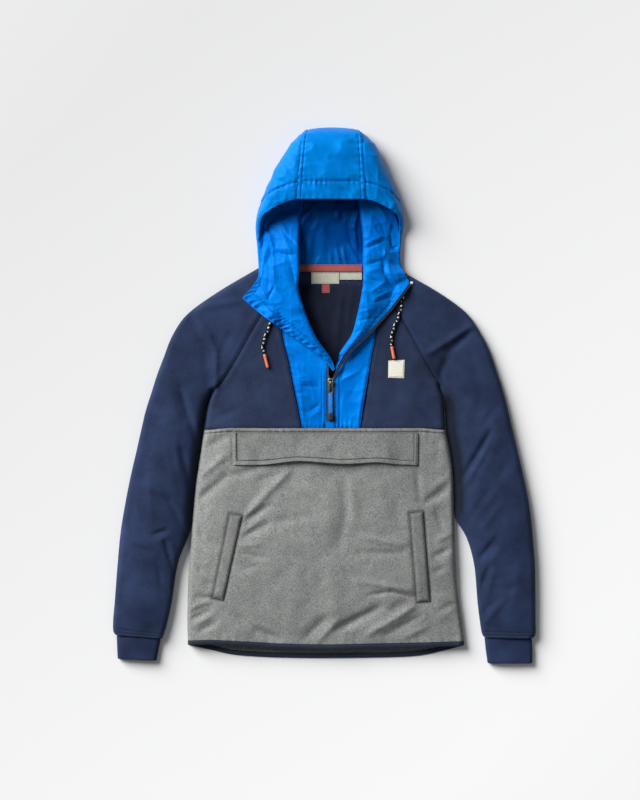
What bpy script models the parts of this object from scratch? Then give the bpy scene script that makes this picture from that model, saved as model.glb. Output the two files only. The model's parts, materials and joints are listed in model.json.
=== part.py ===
"""Hooded half-zip fleece anorak, lying flat on its back with the neck turned open.

The frame is the garment's own: X across the chest, Y from the hem up to the hood, Z up from the
surface it lies on. Every length here is in millimetres and becomes metres when a mesh is made.
"Left" and "right" are the sides as seen from above, with the hood at the top.

The cloth is made of sheets. A panel on top follows one pillow form, whose height grows with the
distance from the folded edges round it, and a panel underneath lies flat and curls up at its edge.
"""

import math

import bmesh
import bpy
import numpy as np
from mathutils import Vector

MM = 0.001

# Cloth
FLEECE = 2.5           # thickness of the fleece
PADDING = 4.2          # thickness of the padded hood
FACING = 3.0           # thickness of the turned-out lining
BINDING = 3.2          # thickness of a bound edge
GAP = 0.3              # between pieces that meet at a seam
LIFT = 0.35            # between a panel and what lies on it

# Pillow form of the garment as it lies
SEAM_Z = 5.6           # height of the side seams over the floor
EDGE_ROUND = 7.5       # radius of the rounded folded edges
BODY_CROWN = 12.0      # what the fullness of the body adds
SLEEVE_CROWN = 9.0     # what the fullness of a sleeve adds
BODY_SPREAD = 42.0     # distance over which the fullness grows
HEM_Y = -470.0
CHEST_Y = -63.5        # seam between the grey and the navy cloth
MIDDLE_X = 12.5        # centre line of the zip and the hood

# Outlines from the hem or the cuff upwards: x, y
SIDE_LEFT = [(-258.5, -469.5), (-259.5, -425.5), (-257.5, -349.5), (-254, -296.5), (-249, -235.5),
             (-243, -171), (-233, -102.5), (-227, -63.5), (-219.5, -17), (-211, 8.5)]
SIDE_RIGHT = [(266, -469.5), (260.5, -425.5), (253, -368.5), (249.5, -302), (247, -235.5),
              (245.5, -178.5), (243, -131), (236.5, -92), (231, -63.5), (227.5, -12), (218.5, 19)]
RAGLAN_LEFT = [(-211, 8.5), (-192, 28.5), (-165.5, 71), (-140.5, 116), (-118, 154), (-93, 195),
               (-70.5, 235.5)]
RAGLAN_RIGHT = [(218.5, 19), (204, 43.5), (184.5, 76), (161.5, 119.5), (137, 163.5), (114, 199.5),
                (92, 235.5)]

# Sleeve sections from the cuff to the neck: inner x, y and outer x, y
SLEEVE_LEFT = [
    (-306, -460, -395, -454), (-304, -455, -400, -445.5), (-297.5, -435, -400, -422),
    (-290.5, -391.5, -397, -387.5), (-278.5, -315.5, -391.5, -315.5),
    (-264, -254.5, -385.5, -254.5), (-255.5, -197.5, -376, -197.5), (-248, -150, -366.5, -150),
    (-238.5, -102.5, -355.5, -102.5), (-231.5, -64.5, -347, -64.5),
    (-224, -24.5, -338, -26.5), (-215, 5.5, -327, 8), (-192, 28.5, -317.5, 38),
    (-165.5, 71, -304, 74), (-140.5, 116, -287, 116), (-118, 154, -258.5, 156),
    (-93, 195, -198, 199.5), (-70.5, 235.5, -124, 243),
]
SLEEVE_RIGHT = [
    (304, -458.5, 395, -460), (298.5, -450, 401.5, -452), (294.5, -425.5, 401.5, -425.5),
    (290, -387.5, 401.5, -387.5), (284, -321, 400.5, -321), (273.5, -270, 397, -273.5),
    (264, -232, 393.5, -235.5), (259, -197.5, 388, -197.5), (254, -154, 379, -154),
    (246, -106.5, 368, -106.5), (237, -64.5, 358, -64.5), (232, -17, 347, -17),
    (222.5, 16, 337, 19), (204, 43.5, 328, 45.5), (184.5, 76, 315.5, 81.5),
    (161.5, 119.5, 299, 116), (137, 163.5, 270, 157.5), (114, 199.5, 217.5, 196.5),
    (92, 235.5, 147, 237),
]
CUFF_LEFT = [(-309.5, -460.2, -393.5, -454.5), (-314, -482, -392.5, -480),
             (-317.5, -502, -391.5, -498.5)]
CUFF_RIGHT = [(304.5, -458.9, 394.5, -460.4), (307, -482, 395.5, -482),
              (310.5, -507, 395.5, -507)]
CUFF_CROWN = 4.0

# Placket seams from the chest seam to the neck: x, y
PLACKET_LEFT = [(-42, -63.5), (-50.5, -17), (-60, 28.5), (-67.5, 66.5), (-79, 114), (-80, 154),
                (-74, 194), (-68, 222)]
PLACKET_RIGHT = [(69.5, -63.5), (76, -17), (83.5, 28.5), (90, 66.5), (98, 114), (99, 154),
                 (94, 194), (91, 216)]
ZIP_HALF = 7.8         # half the width of the closed zip
ZIP_TOP = 42.0         # where the closed part ends in the V of the neck
ZIP_BOTTOM = -60.0
NECK_INSET = 6.0       # the placket's neck edge lies this far inside the roll
NECK_Y = {"left": 206.0, "right": 186.0}  # where the placket's neck edge ends

# Hems: x, y of the cloth's lower edge, above its binding
FRONT_HEM = [(-258.5, -469.5), (-212, -464.5), (-146.5, -467.5), (-74, -471.5), (-1, -473),
             (55, -472), (181.5, -469.5), (266, -469.5)]
BACK_HEM = [(-258.5, -469.5), (-219, -475.5), (-172, -485), (-110, -489.5), (-55, -491),
            (11.5, -491.5), (118.5, -490), (181.5, -486.5), (229, -477), (266, -469.5)]
HEM_BAND = 8.0
FRONT_HEM_CROWN = 0.62  # share of the fullness left at the hem
HEM_FALL = 70.0         # height over which the front falls to its hem

BACK_NECK = (13, 236.5)  # lowest point of the neck line of the upper back

# Turned-out facing from the zip to the inside of the hood:
# edge x, y, roll x, y, height of what it stands on (None: the front), height of crest, of edge
FACING_LEFT = [
    (8, 58, 17, 62, None, 5, None), (-2, 69, 9, 78, None, 9, None),
    (-38, 97, -10, 104, None, 13, None), (-82, 127, -28, 139, None, 14, None),
    (-118, 153, -40, 173, None, 14, None), (-154, 185, -48, 202, None, 14, None),
    (-137, 205, -48, 220, None, 15, None), (-125, 226, -47, 239, 5, 38, 22),
    (-124, 253, -47, 262, 5, 36, 15.5), (-124, 281, -47, 287, 5, 34, 16),
    (-121, 306, -46, 314, 5, 33, 19), (-112, 330, -44, 342, 5, 32, 23),
    (-100, 349, -40, 367, 5, 30, 24), (-88, 368, -34, 388, 5, 27, 22),
]
FACING_RIGHT = [
    (37, 73, 28, 71, None, 5, None), (42, 78, 30, 82, None, 9, None),
    (55, 92, 40, 97, None, 11, None), (76, 112, 53, 118, None, 13, None),
    (103, 140, 61, 146, None, 14, None), (129, 170, 68, 177, None, 14, None),
    (162, 214, 73, 205, None, 14, None), (153, 232, 74, 226, 5, 38, 26),
    (141, 251, 74, 247, 5, 36, 15.5), (139.5, 274, 74, 270, 5, 34, 15.5),
    (140.5, 296, 74, 293, 5, 33, 17), (138, 325, 71, 322, 5, 32, 22),
    (128, 349, 66, 354, 5, 30, 24), (116, 366, 60, 384, 5, 27, 22),
]
FACINGS = {"left": FACING_LEFT, "right": FACING_RIGHT}
ROLL_TUCK = 11.0       # how far the rolled edge turns back under
CORD_HUMP = 11.0       # how far the facing lifts over a drawcord
CORD_HUMP_WIDTH = 20.0

# Hood side, in sections from the neck to the crown, then along the gusset seam. Each runs from
# the gusset seam under the hood, out to the widest point and over to the face edge: x, y, z
HOOD_SIDE = [
    ((-46, 238.4, 0), (-82, 239.5, 0), (-114, 242.4, 0), (-123, 243.5, 5.5), (-123, 243.5, 8),
     (-122.3, 243.5, 9.5), (-121.5, 243.5, 11)),
    ((-46, 266, 0), (-84, 266, 0), (-114, 266, 0), (-124, 266, 6), (-123.5, 266, 8.5),
     (-122.8, 266, 10), (-121.8, 266, 11.5)),
    ((-46, 296, 0), (-86, 296, 0), (-116, 296, 0), (-127, 296, 7), (-126.8, 296, 10),
     (-125.6, 296, 12), (-124, 296, 13.5)),
    ((-46, 327, 0), (-86, 325, 0), (-117, 321, 0), (-129, 318, 9), (-128, 319, 15),
     (-125.5, 319, 19), (-121.5, 319, 21.5)),
    ((-45, 363, 0), (-82, 355, 0), (-114, 346, 0), (-126, 344, 13), (-125, 343, 24),
     (-122, 341, 31), (-117, 338, 35)),
    ((-44, 395, 0), (-74, 388, 0), (-102, 376, 0), (-115, 377, 15), (-112, 370, 31),
     (-110, 359, 40), (-106, 348, 44)),
    ((-42, 426, 0), (-65, 418, 0), (-88, 406, 0), (-100, 413, 17), (-100, 399, 36),
     (-98, 376, 45), (-96, 354, 47)),
    ((-40, 450, 0), (-51, 444, 0), (-69, 437, 0), (-81, 450, 18), (-82, 429, 39),
     (-83, 395, 48), (-84, 360, 49)),
    ((-38, 470, 0), (-43, 465, 0), (-53, 461, 0), (-63, 478, 18), (-65, 456, 40),
     (-67, 410, 50), (-68, 366, 50.5)),
    ((-37, 480, 0), (-37, 487, 0.3), (-37.5, 494, 3), (-38.5, 502.5, 17), (-43, 484, 40),
     (-48, 429, 51), (-52, 370, 51)),
]
# The right side is this much wider at each section's widest point, and its share at each point
HOOD_RIGHT_WIDER = (0, -6, -5, -3, 0, 1, 1, 2, 6, 5)
WIDER_SHARE = (0, 0.3, 0.8, 1, 1, 0.7, 0.4)
GUSSET_BULGE = 6.5     # how far the gusset stands out at the crown

# Soft folds of the top cloth: from x, y to x, y, height (minus for a trough), half width
FOLDS = [
    (-244, 143, -203, 88, 3.0, 9), (-203, 88, -207, 14, 2.6, 8), (-222, 112, -200, 70, -2.2, 8),
    (-270, 15, -262, -40, -3.2, 11), (-262, -40, -244, -86, -2.6, 10),
    (-322, -262, -300, -255, -2.4, 7), (-355, -286, -328, -296, -2.2, 8),
    (-306, -280, -284, -338, 2.2, 9), (-380, -150, -340, -160, -1.6, 9),
    (275, 132, 204, 84, 3.2, 9), (268, 112, 236, 90, -3.0, 9), (241, 91, 222, 24, 2.4, 7),
    (238, 60, 240, -38, -3.6, 9), (308, -86, 264, -172, -3.4, 9), (330, -80, 290, -170, 2.4, 9),
    (294, -232, 327, -194, -2.6, 8), (292, -308, 327, -282, -2.4, 8),
    (304, -367, 355, -361, -2.2, 7), (300, -340, 352, -330, 1.8, 8),
    (175, -380, 135, -401, -3.2, 8), (135, -401, 40, -433, -2.6, 9),
    (182, -414, 118, -443, 2.4, 9), (228, -184, 194, -200, -2.6, 7),
    (-230, -190, -182, -141, -2.6, 8), (-110, -160, -148, -217, -2.0, 9),
    (-152, -272, -110, -251, -2.0, 6), (-158, -317, -127, -306, -1.8, 6),
    (-253, -418, -224, -391, -2.4, 8), (-230, -437, -190, -409, -2.2, 8),
    (-158, -418, -86, -456, -2.2, 8), (-48, -452, -10, -424, -1.8, 8),
    (210, -270, 204, -330, -1.6, 8), (-205, -300, -222, -360, -1.6, 8),
]

# Chest pocket flap: its two ends hang from the seam, x, y at the top and the bottom
FLAP_TOP = [(-173, -69), (2, -69), (178, -69)]
FLAP_LEFT = [(-171.5, -130), (-173, -69)]
FLAP_RIGHT = [(177.5, -130.5), (178, -69)]
FLAP_BOTTOM = [(-171.5, -130), (-112, -129), (-49.5, -122), (11.5, -126), (45.5, -127.5),
               (99, -124.5), (138.5, -128.5), (177.5, -130.5)]
FLAP_SIZE = (350.0, 60.0)
FLAP_BAND = 7.6
FLAP_OPEN = 7.0        # how far the flap's lower edge stands off in the middle

# Four corners of each flat piece sewn on: top left, top right, bottom right, bottom left
WELT_LEFT = [(-178.5, -222), (-154, -225.5), (-190, -387.5), (-212, -383.5)]
WELT_RIGHT = [(161.5, -221), (188, -217.5), (201.5, -389), (175, -390.5)]
CHEST_PATCH = [(121.5, 67), (153, 68.5), (152, 33), (121, 34)]

# Neck trims: left, bottom, right, top and the height of their underside
NECK_TAPE = (-47, 236, 72, 249.5, 4.6)
MAIN_LABEL = (-24, 213, 29, 235, 2.85)
SIZE_LABEL = (30, 220.5, 72, 235, 2.85)
LOOP_TAB = (-4, 195.5, 11, 212.5, 2.85)
TRIM = 1.0             # thickness of a tape or a label

# Drawcords: x, y along each as it lies on the front, from under the facing to its tip
CORD_RADIUS = 2.7
TIP_RADIUS = 3.1
CORD_LEFT = [(-97, 153), (-99, 148), (-102, 135.5), (-106.5, 123.5), (-112, 110), (-115.5, 95),
             (-114, 81)]
TIP_LEFT = [(-112.6, 79), (-106, 53)]
CORD_RIGHT = [(151, 195), (150, 190), (147.5, 180.5), (146, 167), (141.5, 152), (136, 138.5),
              (130.5, 125.5), (127.5, 110), (127.8, 96)]
TIP_RIGHT = [(128.2, 93.5), (132.6, 70)]

# Zip slider and its pull
SLIDER = (12.5, 26.0)  # centre x, y
SLIDER_SIZE = (10.5, 14.0, 3.6)
PIN_RADIUS = 0.9
PIN_UP = 2.9           # pin axis over the slider's top
EYE_RADIUS = 2.3
EYE_WIDTH = 4.4
TAIL_START = 1.7       # from the pin's axis to the end of the tab's tail
LUG = (1.2, 4.4, 5.3)
LUG_X = 4.2            # from the middle to each lug's centre
TAB_SIZE = (5.4, 19.0, 1.6)
STRAP_SIZE = (8.6, 38.5, 3.0)
END_SIZE = (11.6, 13.0, 4.6)
PULL_SLOPE = 12.0      # degrees by which the pull tab points down to the placket

# Zip garage at the closed end: top left, top right, bottom right, bottom left
ZIP_GARAGE = [(4, -48), (21, -48), (21, -60), (4, -60)]

COLOURS = {
    "navy fleece": ((0.024, 0.034, 0.088), 0.95),
    "marl grey fleece": ((0.255, 0.265, 0.255), 0.95),
    "blue nylon": ((0.004, 0.155, 0.76), 0.45),
    "coral tape": ((0.54, 0.085, 0.05), 0.8),
    "off-white label": ((0.68, 0.66, 0.56), 0.8),
    "dark zip": ((0.03, 0.032, 0.045), 0.7),
    "gunmetal": ((0.16, 0.14, 0.11), 0.35),
    "black cord": ((0.01, 0.01, 0.012), 0.85),
    "orange tip": ((0.74, 0.13, 0.04), 0.4),
    "navy binding": ((0.018, 0.035, 0.07), 0.8),
}


def material(name):
    found = bpy.data.materials.get(name)
    if found:
        return found
    made = bpy.data.materials.new(name)
    made.use_nodes = True
    shader = made.node_tree.nodes["Principled BSDF"]
    colour, roughness = COLOURS[name]
    shader.inputs["Base Color"].default_value = (*colour, 1)
    shader.inputs["Roughness"].default_value = roughness
    shader.inputs["Metallic"].default_value = 1.0 if name == "gunmetal" else 0.0
    return made


# ---- curves ----------------------------------------------------------------------------------

def smooth(points, steps=8):
    """A smooth curve through the points, with so many steps between each two."""
    p = np.asarray(points, float)
    p = np.vstack([2 * p[0] - p[1], p, 2 * p[-1] - p[-2]])
    out = []
    for a, b, c, d in zip(p, p[1:], p[2:], p[3:]):
        for i in range(steps):
            t = i / steps
            out.append(0.5 * (2 * b + (c - a) * t + (2 * a - 5 * b + 4 * c - d) * t * t
                              + (3 * b - a - 3 * c + d) * t ** 3))
    return np.array(out + [p[-2]])


def along(line, shares):
    """Points at the given shares of a line's length."""
    line = np.asarray(line, float)
    run = np.concatenate([[0], np.cumsum(np.linalg.norm(np.diff(line, axis=0), axis=1))])
    return np.array([[np.interp(s * run[-1], run, line[:, k]) for k in range(line.shape[1])]
                     for s in shares])


def crowded(count, start=True, end=True):
    """Shares from 0 to 1 that crowd at the start, at the end or at both."""
    t = np.linspace(0, 1, count)
    if start and end:
        return (1 - np.cos(math.pi * t)) / 2
    if start:
        return 1 - np.cos(math.pi * t / 2)
    return np.sin(math.pi * t / 2)


def distance(x, y, line):
    a, b = line[:-1, :2], line[1:, :2]
    ab = b - a
    t = np.clip(((x - a[:, 0]) * ab[:, 0] + (y - a[:, 1]) * ab[:, 1])
                / np.maximum((ab ** 2).sum(1), 1e-9), 0, 1)
    return np.hypot(a[:, 0] + ab[:, 0] * t - x, a[:, 1] + ab[:, 1] * t - y).min()


SIDES = {"left": smooth(SIDE_LEFT), "right": smooth(SIDE_RIGHT)}
# The side folds go on below the hem, so that the form is straight there
SIDE_FOLDS = {side: np.vstack([line[0] - (0, 60), line]) for side, line in SIDES.items()}
RAGLANS = {"left": smooth(RAGLAN_LEFT), "right": smooth(RAGLAN_RIGHT)}
CORDS = {"left": smooth(CORD_LEFT, 2), "right": smooth(CORD_RIGHT, 2)}
SLEEVES = {"left": smooth(SLEEVE_LEFT), "right": smooth(SLEEVE_RIGHT)}
OUTER = {side: rows[:, 2:] for side, rows in SLEEVES.items()}
ARMPIT = {"left": 11, "right": 12}  # section of each sleeve table at the armpit
SIDE_ROWS = 3          # rows of the upper panels between the chest seam and the armpit
RAGLAN_STEP = 4        # every such point of a raglan curve is a row of the panels beside it
UNDERARM = {side: np.vstack([rows[:ARMPIT[side] * 8 - 3, :2], RAGLANS[side][:1]])
            for side, rows in SLEEVES.items()}


# ---- heights ---------------------------------------------------------------------------------

def ramp(value, low, high):
    t = min(max((value - low) / (high - low), 0), 1)
    return t * t * (3 - 2 * t)


def quarter(value, radius):
    t = min(max(value / radius, 0), 1)
    return radius * math.sqrt(1 - (1 - t) ** 2)


def edge_distance(x, y, limb):
    """Distance to the folded edges round a point, blended softly where two are near."""
    total = 0
    for side in ("left", "right"):
        inner = SIDE_FOLDS[side] if limb == "body" else UNDERARM[side]
        for line in (OUTER[side], inner):
            total += max(distance(x, y, line), 1e-3) ** -4
    return total ** -0.25


def folds(x, y):
    total = 0
    for x0, y0, x1, y1, height, width in FOLDS:
        dx, dy = x1 - x0, y1 - y0
        t = min(max(((x - x0) * dx + (y - y0) * dy) / (dx * dx + dy * dy), 0), 1)
        away = math.hypot(x0 + dx * t - x, y0 + dy * t - y)
        if away < 3 * width:
            total += height * math.exp(-(away / width) ** 2)
    return total


def top(x, y, limb="body"):
    """Height of the upper cloth's outside over the floor."""
    d = edge_distance(x, y, limb)
    body = 1 - ramp(abs(x - MIDDLE_X), 180, 300)
    crown = SLEEVE_CROWN + (BODY_CROWN - SLEEVE_CROWN) * body
    if limb == "body":
        low = ramp(y, HEM_Y - 10, HEM_Y + HEM_FALL)
    else:
        low = ramp(y, -465, -420)
    crown *= FRONT_HEM_CROWN + (1 - FRONT_HEM_CROWN) * low
    fade = 1 - math.exp(-(d / 14) ** 2)
    return (SEAM_Z + GAP / 2 + quarter(d, EDGE_ROUND)
            + crown * (1 - math.exp(-d / BODY_SPREAD)) + folds(x, y) * fade)


def under(x, y, limb="body"):
    """Height of the lower cloth's outside: flat on the floor, curled up at the edge."""
    d = edge_distance(x, y, limb)
    radius = SEAM_Z - GAP / 2
    return radius - quarter(d, radius)


def slope_normal(height, x, y, limb, up):
    """Normal of a height form, from its slope."""
    step = min(0.25, edge_distance(x, y, limb) / 3)
    dx = (height(x + step, y, limb) - height(x - step, y, limb)) / (2 * step)
    dy = (height(x, y + step, limb) - height(x, y - step, limb)) / (2 * step)
    n = np.array([-dx, -dy, 1.0]) if up else np.array([dx, dy, -1.0])
    return n / np.linalg.norm(n)


# ---- meshes ----------------------------------------------------------------------------------

def make_object(name, verts, faces, cloth, smooth_faces=True):
    mesh = bpy.data.meshes.new(name)
    mesh.from_pydata([tuple(float(c) * MM for c in v) for v in verts], [], faces)
    solid = bmesh.new()
    solid.from_mesh(mesh)
    bmesh.ops.triangulate(solid, faces=solid.faces)
    bmesh.ops.recalc_face_normals(solid, faces=solid.faces)
    if solid.calc_volume(signed=True) < 0:
        bmesh.ops.reverse_faces(solid, faces=solid.faces)
    solid.to_mesh(mesh)
    solid.free()
    mesh.materials.append(material(cloth))
    if smooth_faces:
        mesh.shade_smooth()
        mesh.set_sharp_from_angle(angle=math.radians(50))
    made = bpy.data.objects.new(name, mesh)
    bpy.context.collection.objects.link(made)
    return made


def sheet(name, outer, normals, thickness, cloth):
    """A closed wall: the outer points, the same ones moved in by the thickness, and the rims."""
    outer = np.asarray(outer, float)
    rows, columns = outer.shape[:2]
    thickness = np.broadcast_to(np.asarray(thickness, float), (rows, columns))
    inner = outer - np.asarray(normals) * thickness[..., None]
    verts = np.vstack([outer.reshape(-1, 3), inner.reshape(-1, 3)])
    count = rows * columns

    def at(i, j):
        return i * columns + j

    faces = []
    for i in range(rows - 1):
        for j in range(columns - 1):
            quad = [at(i, j), at(i, j + 1), at(i + 1, j + 1), at(i + 1, j)]
            faces.append(quad)
            faces.append([v + count for v in reversed(quad)])
    rim = ([at(0, j) for j in range(columns)] + [at(i, columns - 1) for i in range(1, rows)]
           + [at(rows - 1, j) for j in range(columns - 2, -1, -1)]
           + [at(i, 0) for i in range(rows - 2, 0, -1)])
    for a, b in zip(rim, rim[1:] + rim[:1]):
        faces.append([b, a, a + count, b + count])
    return make_object(name, verts, faces, cloth)


def surface_normals(points, flip=False):
    """Normals of a grid of points, from its own rows and columns."""
    points = np.asarray(points, float)
    n = np.cross(np.gradient(points, axis=1), np.gradient(points, axis=0))
    n /= np.maximum(np.linalg.norm(n, axis=2, keepdims=True), 1e-9)
    return -n if flip else n


def patch(left, right, bottom, top_line, rows, columns):
    """Plan points of a four-sided panel, from its four edges (rows go up, columns go right).

    With no rows given, the left and the right edge already hold one point for each row."""
    if rows is None:
        rows = np.linspace(0, 1, len(left))
    else:
        left, right = along(left, rows), along(right, rows)
    grid = np.zeros((len(rows), len(columns), 2))
    bottom, top_line = along(bottom, columns), along(top_line, columns)
    for i, v in enumerate(rows):
        for j, u in enumerate(columns):
            grid[i, j] = ((1 - u) * left[i] + u * right[i] + (1 - v) * bottom[j]
                          + v * top_line[j]
                          - (1 - u) * ((1 - v) * left[0] + v * left[-1])
                          - u * ((1 - v) * right[0] + v * right[-1]))
    return grid


def drape(plan, height, up, limb="body", folded=()):
    """Points and normals of plan points on a height form. Folded columns stand upright."""
    rows, columns = plan.shape[:2]
    points, normals = np.zeros((rows, columns, 3)), np.zeros((rows, columns, 3))
    for i in range(rows):
        for j in range(columns):
            x, y = plan[i, j]
            points[i, j] = (x, y, height(x, y, limb))
            if j in folded or j - columns in folded:
                normals[i, j] = (-1 if j == 0 else 1, 0, 0)
                points[i, j, 2] = SEAM_Z + (GAP / 2 if up else -GAP / 2)
            else:
                normals[i, j] = slope_normal(height, x, y, limb, up)
    return points, normals


def laid(name, corners, rows, columns, thickness, cloth, lift=LIFT):
    """A flat piece sewn on the front, from its four corners."""
    top_left, top_right, bottom_right, bottom_left = (np.array(c, float) for c in corners)
    plan = patch([bottom_left, top_left], [bottom_right, top_right],
                 [bottom_left, bottom_right], [top_left, top_right],
                 np.linspace(0, 1, rows), np.linspace(0, 1, columns))
    return lie_on_front(name, plan, thickness, cloth, np.full(plan.shape[:2], lift))


def lie_on_front(name, plan, thickness, cloth, lift):
    points, normals = drape(plan, top, True)
    outside = points + normals * (lift + thickness)[..., None]
    return sheet(name, outside, normals, thickness, cloth)


# ---- body ------------------------------------------------------------------------------------

def split(line, y):
    """The line below and above a height, both with the point at it."""
    cut = np.array([np.interp(y, line[:, 1], line[:, 0]), y])
    return np.vstack([line[line[:, 1] < y], cut]), np.vstack([cut, line[line[:, 1] > y]])


def straight(a, b, count=2):
    return np.linspace(np.asarray(a, float), np.asarray(b, float), count)


def seam_rows(side, inset):
    """Points up the side seam from the chest seam, then up the raglan seam, moved inwards."""
    below = along(split(SIDES[side], CHEST_Y)[1], np.linspace(0, 1, SIDE_ROWS + 1))[:-1]
    raglan = RAGLANS[side][::RAGLAN_STEP]
    return np.vstack([below, raglan]) - across(raglan, below, side) * inset


def across(raglan, below, side):
    """Unit steps away from the body across the seams, none below the armpit."""
    run = np.gradient(raglan, axis=0)
    away = np.stack([-run[:, 1], run[:, 0]], axis=1) * (1 if side == "left" else -1)
    away /= np.linalg.norm(away, axis=1, keepdims=True)
    return np.vstack([np.zeros_like(below), away])


def placket_seam(side, shift):
    """Points up the seam between the upper front and the placket, moved along X."""
    table = PLACKET_LEFT if side == "left" else PLACKET_RIGHT
    line = along(smooth(table), np.linspace(0, 1, SIDE_ROWS + len(RAGLANS[side][::RAGLAN_STEP])))
    line = line + (shift, 0)
    line[0, 1] += GAP
    return line


def body_panels():
    lower = {side: split(SIDES[side], CHEST_Y)[0] for side in ("left", "right")}
    upper = {side: seam_rows(side, GAP / 2) for side in ("left", "right")}
    chest = straight(lower["left"][-1], lower["right"][-1])

    columns = crowded(17)
    plan = patch(lower["left"], lower["right"], smooth(FRONT_HEM), chest,
                 np.linspace(0, 1, 19), columns)
    points, normals = drape(plan, top, True, folded=(0, -1))
    sheet("front_lower", points, normals, FLEECE, "marl grey fleece")
    hem_band("hem_binding_front", smooth(FRONT_HEM), top, True, columns)

    columns = crowded(13)
    plan = patch(lower["left"], lower["right"], smooth(BACK_HEM), chest,
                 np.linspace(0, 1, 8), columns)
    points, normals = drape(plan, under, False, folded=(0, -1))
    sheet("back_lower", points, normals, FLEECE, "marl grey fleece")
    hem_band("hem_binding_back", smooth(BACK_HEM), under, False, columns)

    for line in upper.values():
        line[0, 1] += GAP
    neck = smooth([upper["left"][-1], BACK_NECK, upper["right"][-1]])
    plan = patch(upper["left"], upper["right"], chest + (0, GAP), neck, None, crowded(13))
    points, normals = drape(plan, under, False)
    stand_rims(points, normals, (True, True), False)
    sheet("back_upper", points, normals, FLEECE, "navy fleece")

    for side, sign in (("left", -1), ("right", 1)):
        edges = (upper[side], placket_seam(side, sign * GAP / 2))
        edges = edges if side == "left" else edges[::-1]
        plan = patch(*edges, straight(edges[0][0], edges[1][0]),
                     straight(edges[0][-1], edges[1][-1]), None,
                     crowded(10, side == "left", side == "right"))
        points, normals = drape(plan, top, True)
        stand_rims(points, normals, (side == "left", side == "right"), True)
        sheet(f"front_upper_{side}", points, normals, FLEECE, "navy fleece")


def stand_rims(points, normals, sides, up):
    """Turns a panel's rims upright along its side seams, below the armpit."""
    for j, chosen in zip((0, -1), sides):
        if chosen:
            normals[:SIDE_ROWS, j] = (-1 if j == 0 else 1, 0, 0)
            points[:SIDE_ROWS, j, 2] = SEAM_Z + (GAP / 2 if up else -GAP / 2)


def hem_band(name, hem, height, up, columns):
    """Binding round a hem: a thicker band that goes on from the cloth's edge."""
    upper_edge = along(hem, columns) - (0, GAP)
    lower_edge = upper_edge - (0, HEM_BAND)
    plan = np.array([lower_edge, (lower_edge + upper_edge) / 2, upper_edge])
    plan[:, 0] += (2 * GAP, 0)
    plan[:, -1] -= (2 * GAP, 0)
    points, normals = drape(plan, height, up, folded=(0, -1))
    sheet(name, points, normals, BINDING, "navy binding")


# ---- sleeves and cuffs -----------------------------------------------------------------------

def tube(sections, over, below, halves):
    """A flattened tube: over the top from the inner line, round the fold and back under."""
    points = []
    for inner, outer in sections:
        ring = []
        for share in halves:
            x, y = inner + (outer - inner) * share
            ring.append((x, y, over(x, y)))
        ring[-1] = (*outer, SEAM_Z)
        for share in halves[-2::-1]:
            x, y = inner + (outer - inner) * share
            ring.append((x, y, below(x, y)))
        points.append(ring)
    points = np.array(points)
    normals = surface_normals(points)
    if normals[len(points) // 2, len(halves) // 2, 2] < 0:
        normals = -normals
    return points, normals


def sleeve(side):
    """One sheet: from the front seam over the top, round the outer fold and back under."""
    table = SLEEVES[side]
    armpit = ARMPIT[side] * 8
    lower = [0, 8, 14] + list(range(20, armpit - 6, 6))
    sections = [(table[k, :2], table[k, 2:]) for k in lower]
    raglan = RAGLANS[side][::RAGLAN_STEP]
    raglan = raglan + across(raglan, raglan[:0], side) * GAP / 2
    partners = table[armpit::RAGLAN_STEP, 2:]
    sections += list(zip(raglan, partners))
    points, normals = tube(sections, lambda x, y: top(x, y, "sleeve"),
                           lambda x, y: under(x, y, "sleeve"), crowded(8))
    for i in range(len(sections)):
        if i < len(lower):
            normals[i, 0] = normals[i, -1] = (1 if side == "left" else -1, 0, 0)
            points[i, 0, 2] = SEAM_Z + GAP / 2
            points[i, -1, 2] = SEAM_Z - GAP / 2
        else:
            for j in (0, -1):
                x, y = points[i, j, :2]
                height = top if j == 0 else under
                normals[i, j] = slope_normal(height, x, y, "sleeve", j == 0)
    sheet(f"sleeve_{side}", points, normals, FLEECE, "navy fleece")


def cuff(side):
    table = smooth(CUFF_LEFT if side == "left" else CUFF_RIGHT, 2)
    inner_line, outer_line = table[:, :2], table[:, 2:]

    def away(x, y):
        return (max(distance(x, y, inner_line), 1e-3) ** -4
                + max(distance(x, y, outer_line), 1e-3) ** -4) ** -0.25

    def over(x, y):
        d = away(x, y)
        return SEAM_Z + GAP / 2 + quarter(d, EDGE_ROUND) + CUFF_CROWN * (1 - math.exp(-d / 25))

    def below(x, y):
        radius = SEAM_Z - GAP / 2
        return radius - quarter(away(x, y), radius)

    sections = [(row[:2], row[2:]) for row in table]
    points, normals = tube(sections, over, below, crowded(8))
    inward = (1, 0, 0) if side == "left" else (-1, 0, 0)
    normals[:, 0] = normals[:, -1] = inward
    points[:, 0, 2] = SEAM_Z + GAP / 2
    points[:, -1, 2] = SEAM_Z - GAP / 2
    sheet(f"cuff_{side}", points, normals, FLEECE, "navy fleece")


# ---- hood ------------------------------------------------------------------------------------

def hood_grid(wider):
    """The left hood side as a fine grid: rows from the neck to the crown, columns outwards."""
    table = np.array(HOOD_SIDE, float)
    table[:, :, 0] -= np.outer(wider, WIDER_SHARE)
    rows = np.array([smooth(row, 2) for row in table])
    grid = np.array([smooth(rows[:, j], 2) for j in range(rows.shape[1])]).transpose(1, 0, 2)
    grid[:, :, 2] = np.maximum(grid[:, :, 2], 0)
    return grid


def under_normals(grid):
    """Normals of a sheet that starts flat on the floor, outside down."""
    normals = surface_normals(grid)
    if normals[2, 2, 2] > 0:
        normals = -normals
    normals[grid[:, :, 2] < 0.01] = (0, 0, -1)
    return normals


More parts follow.
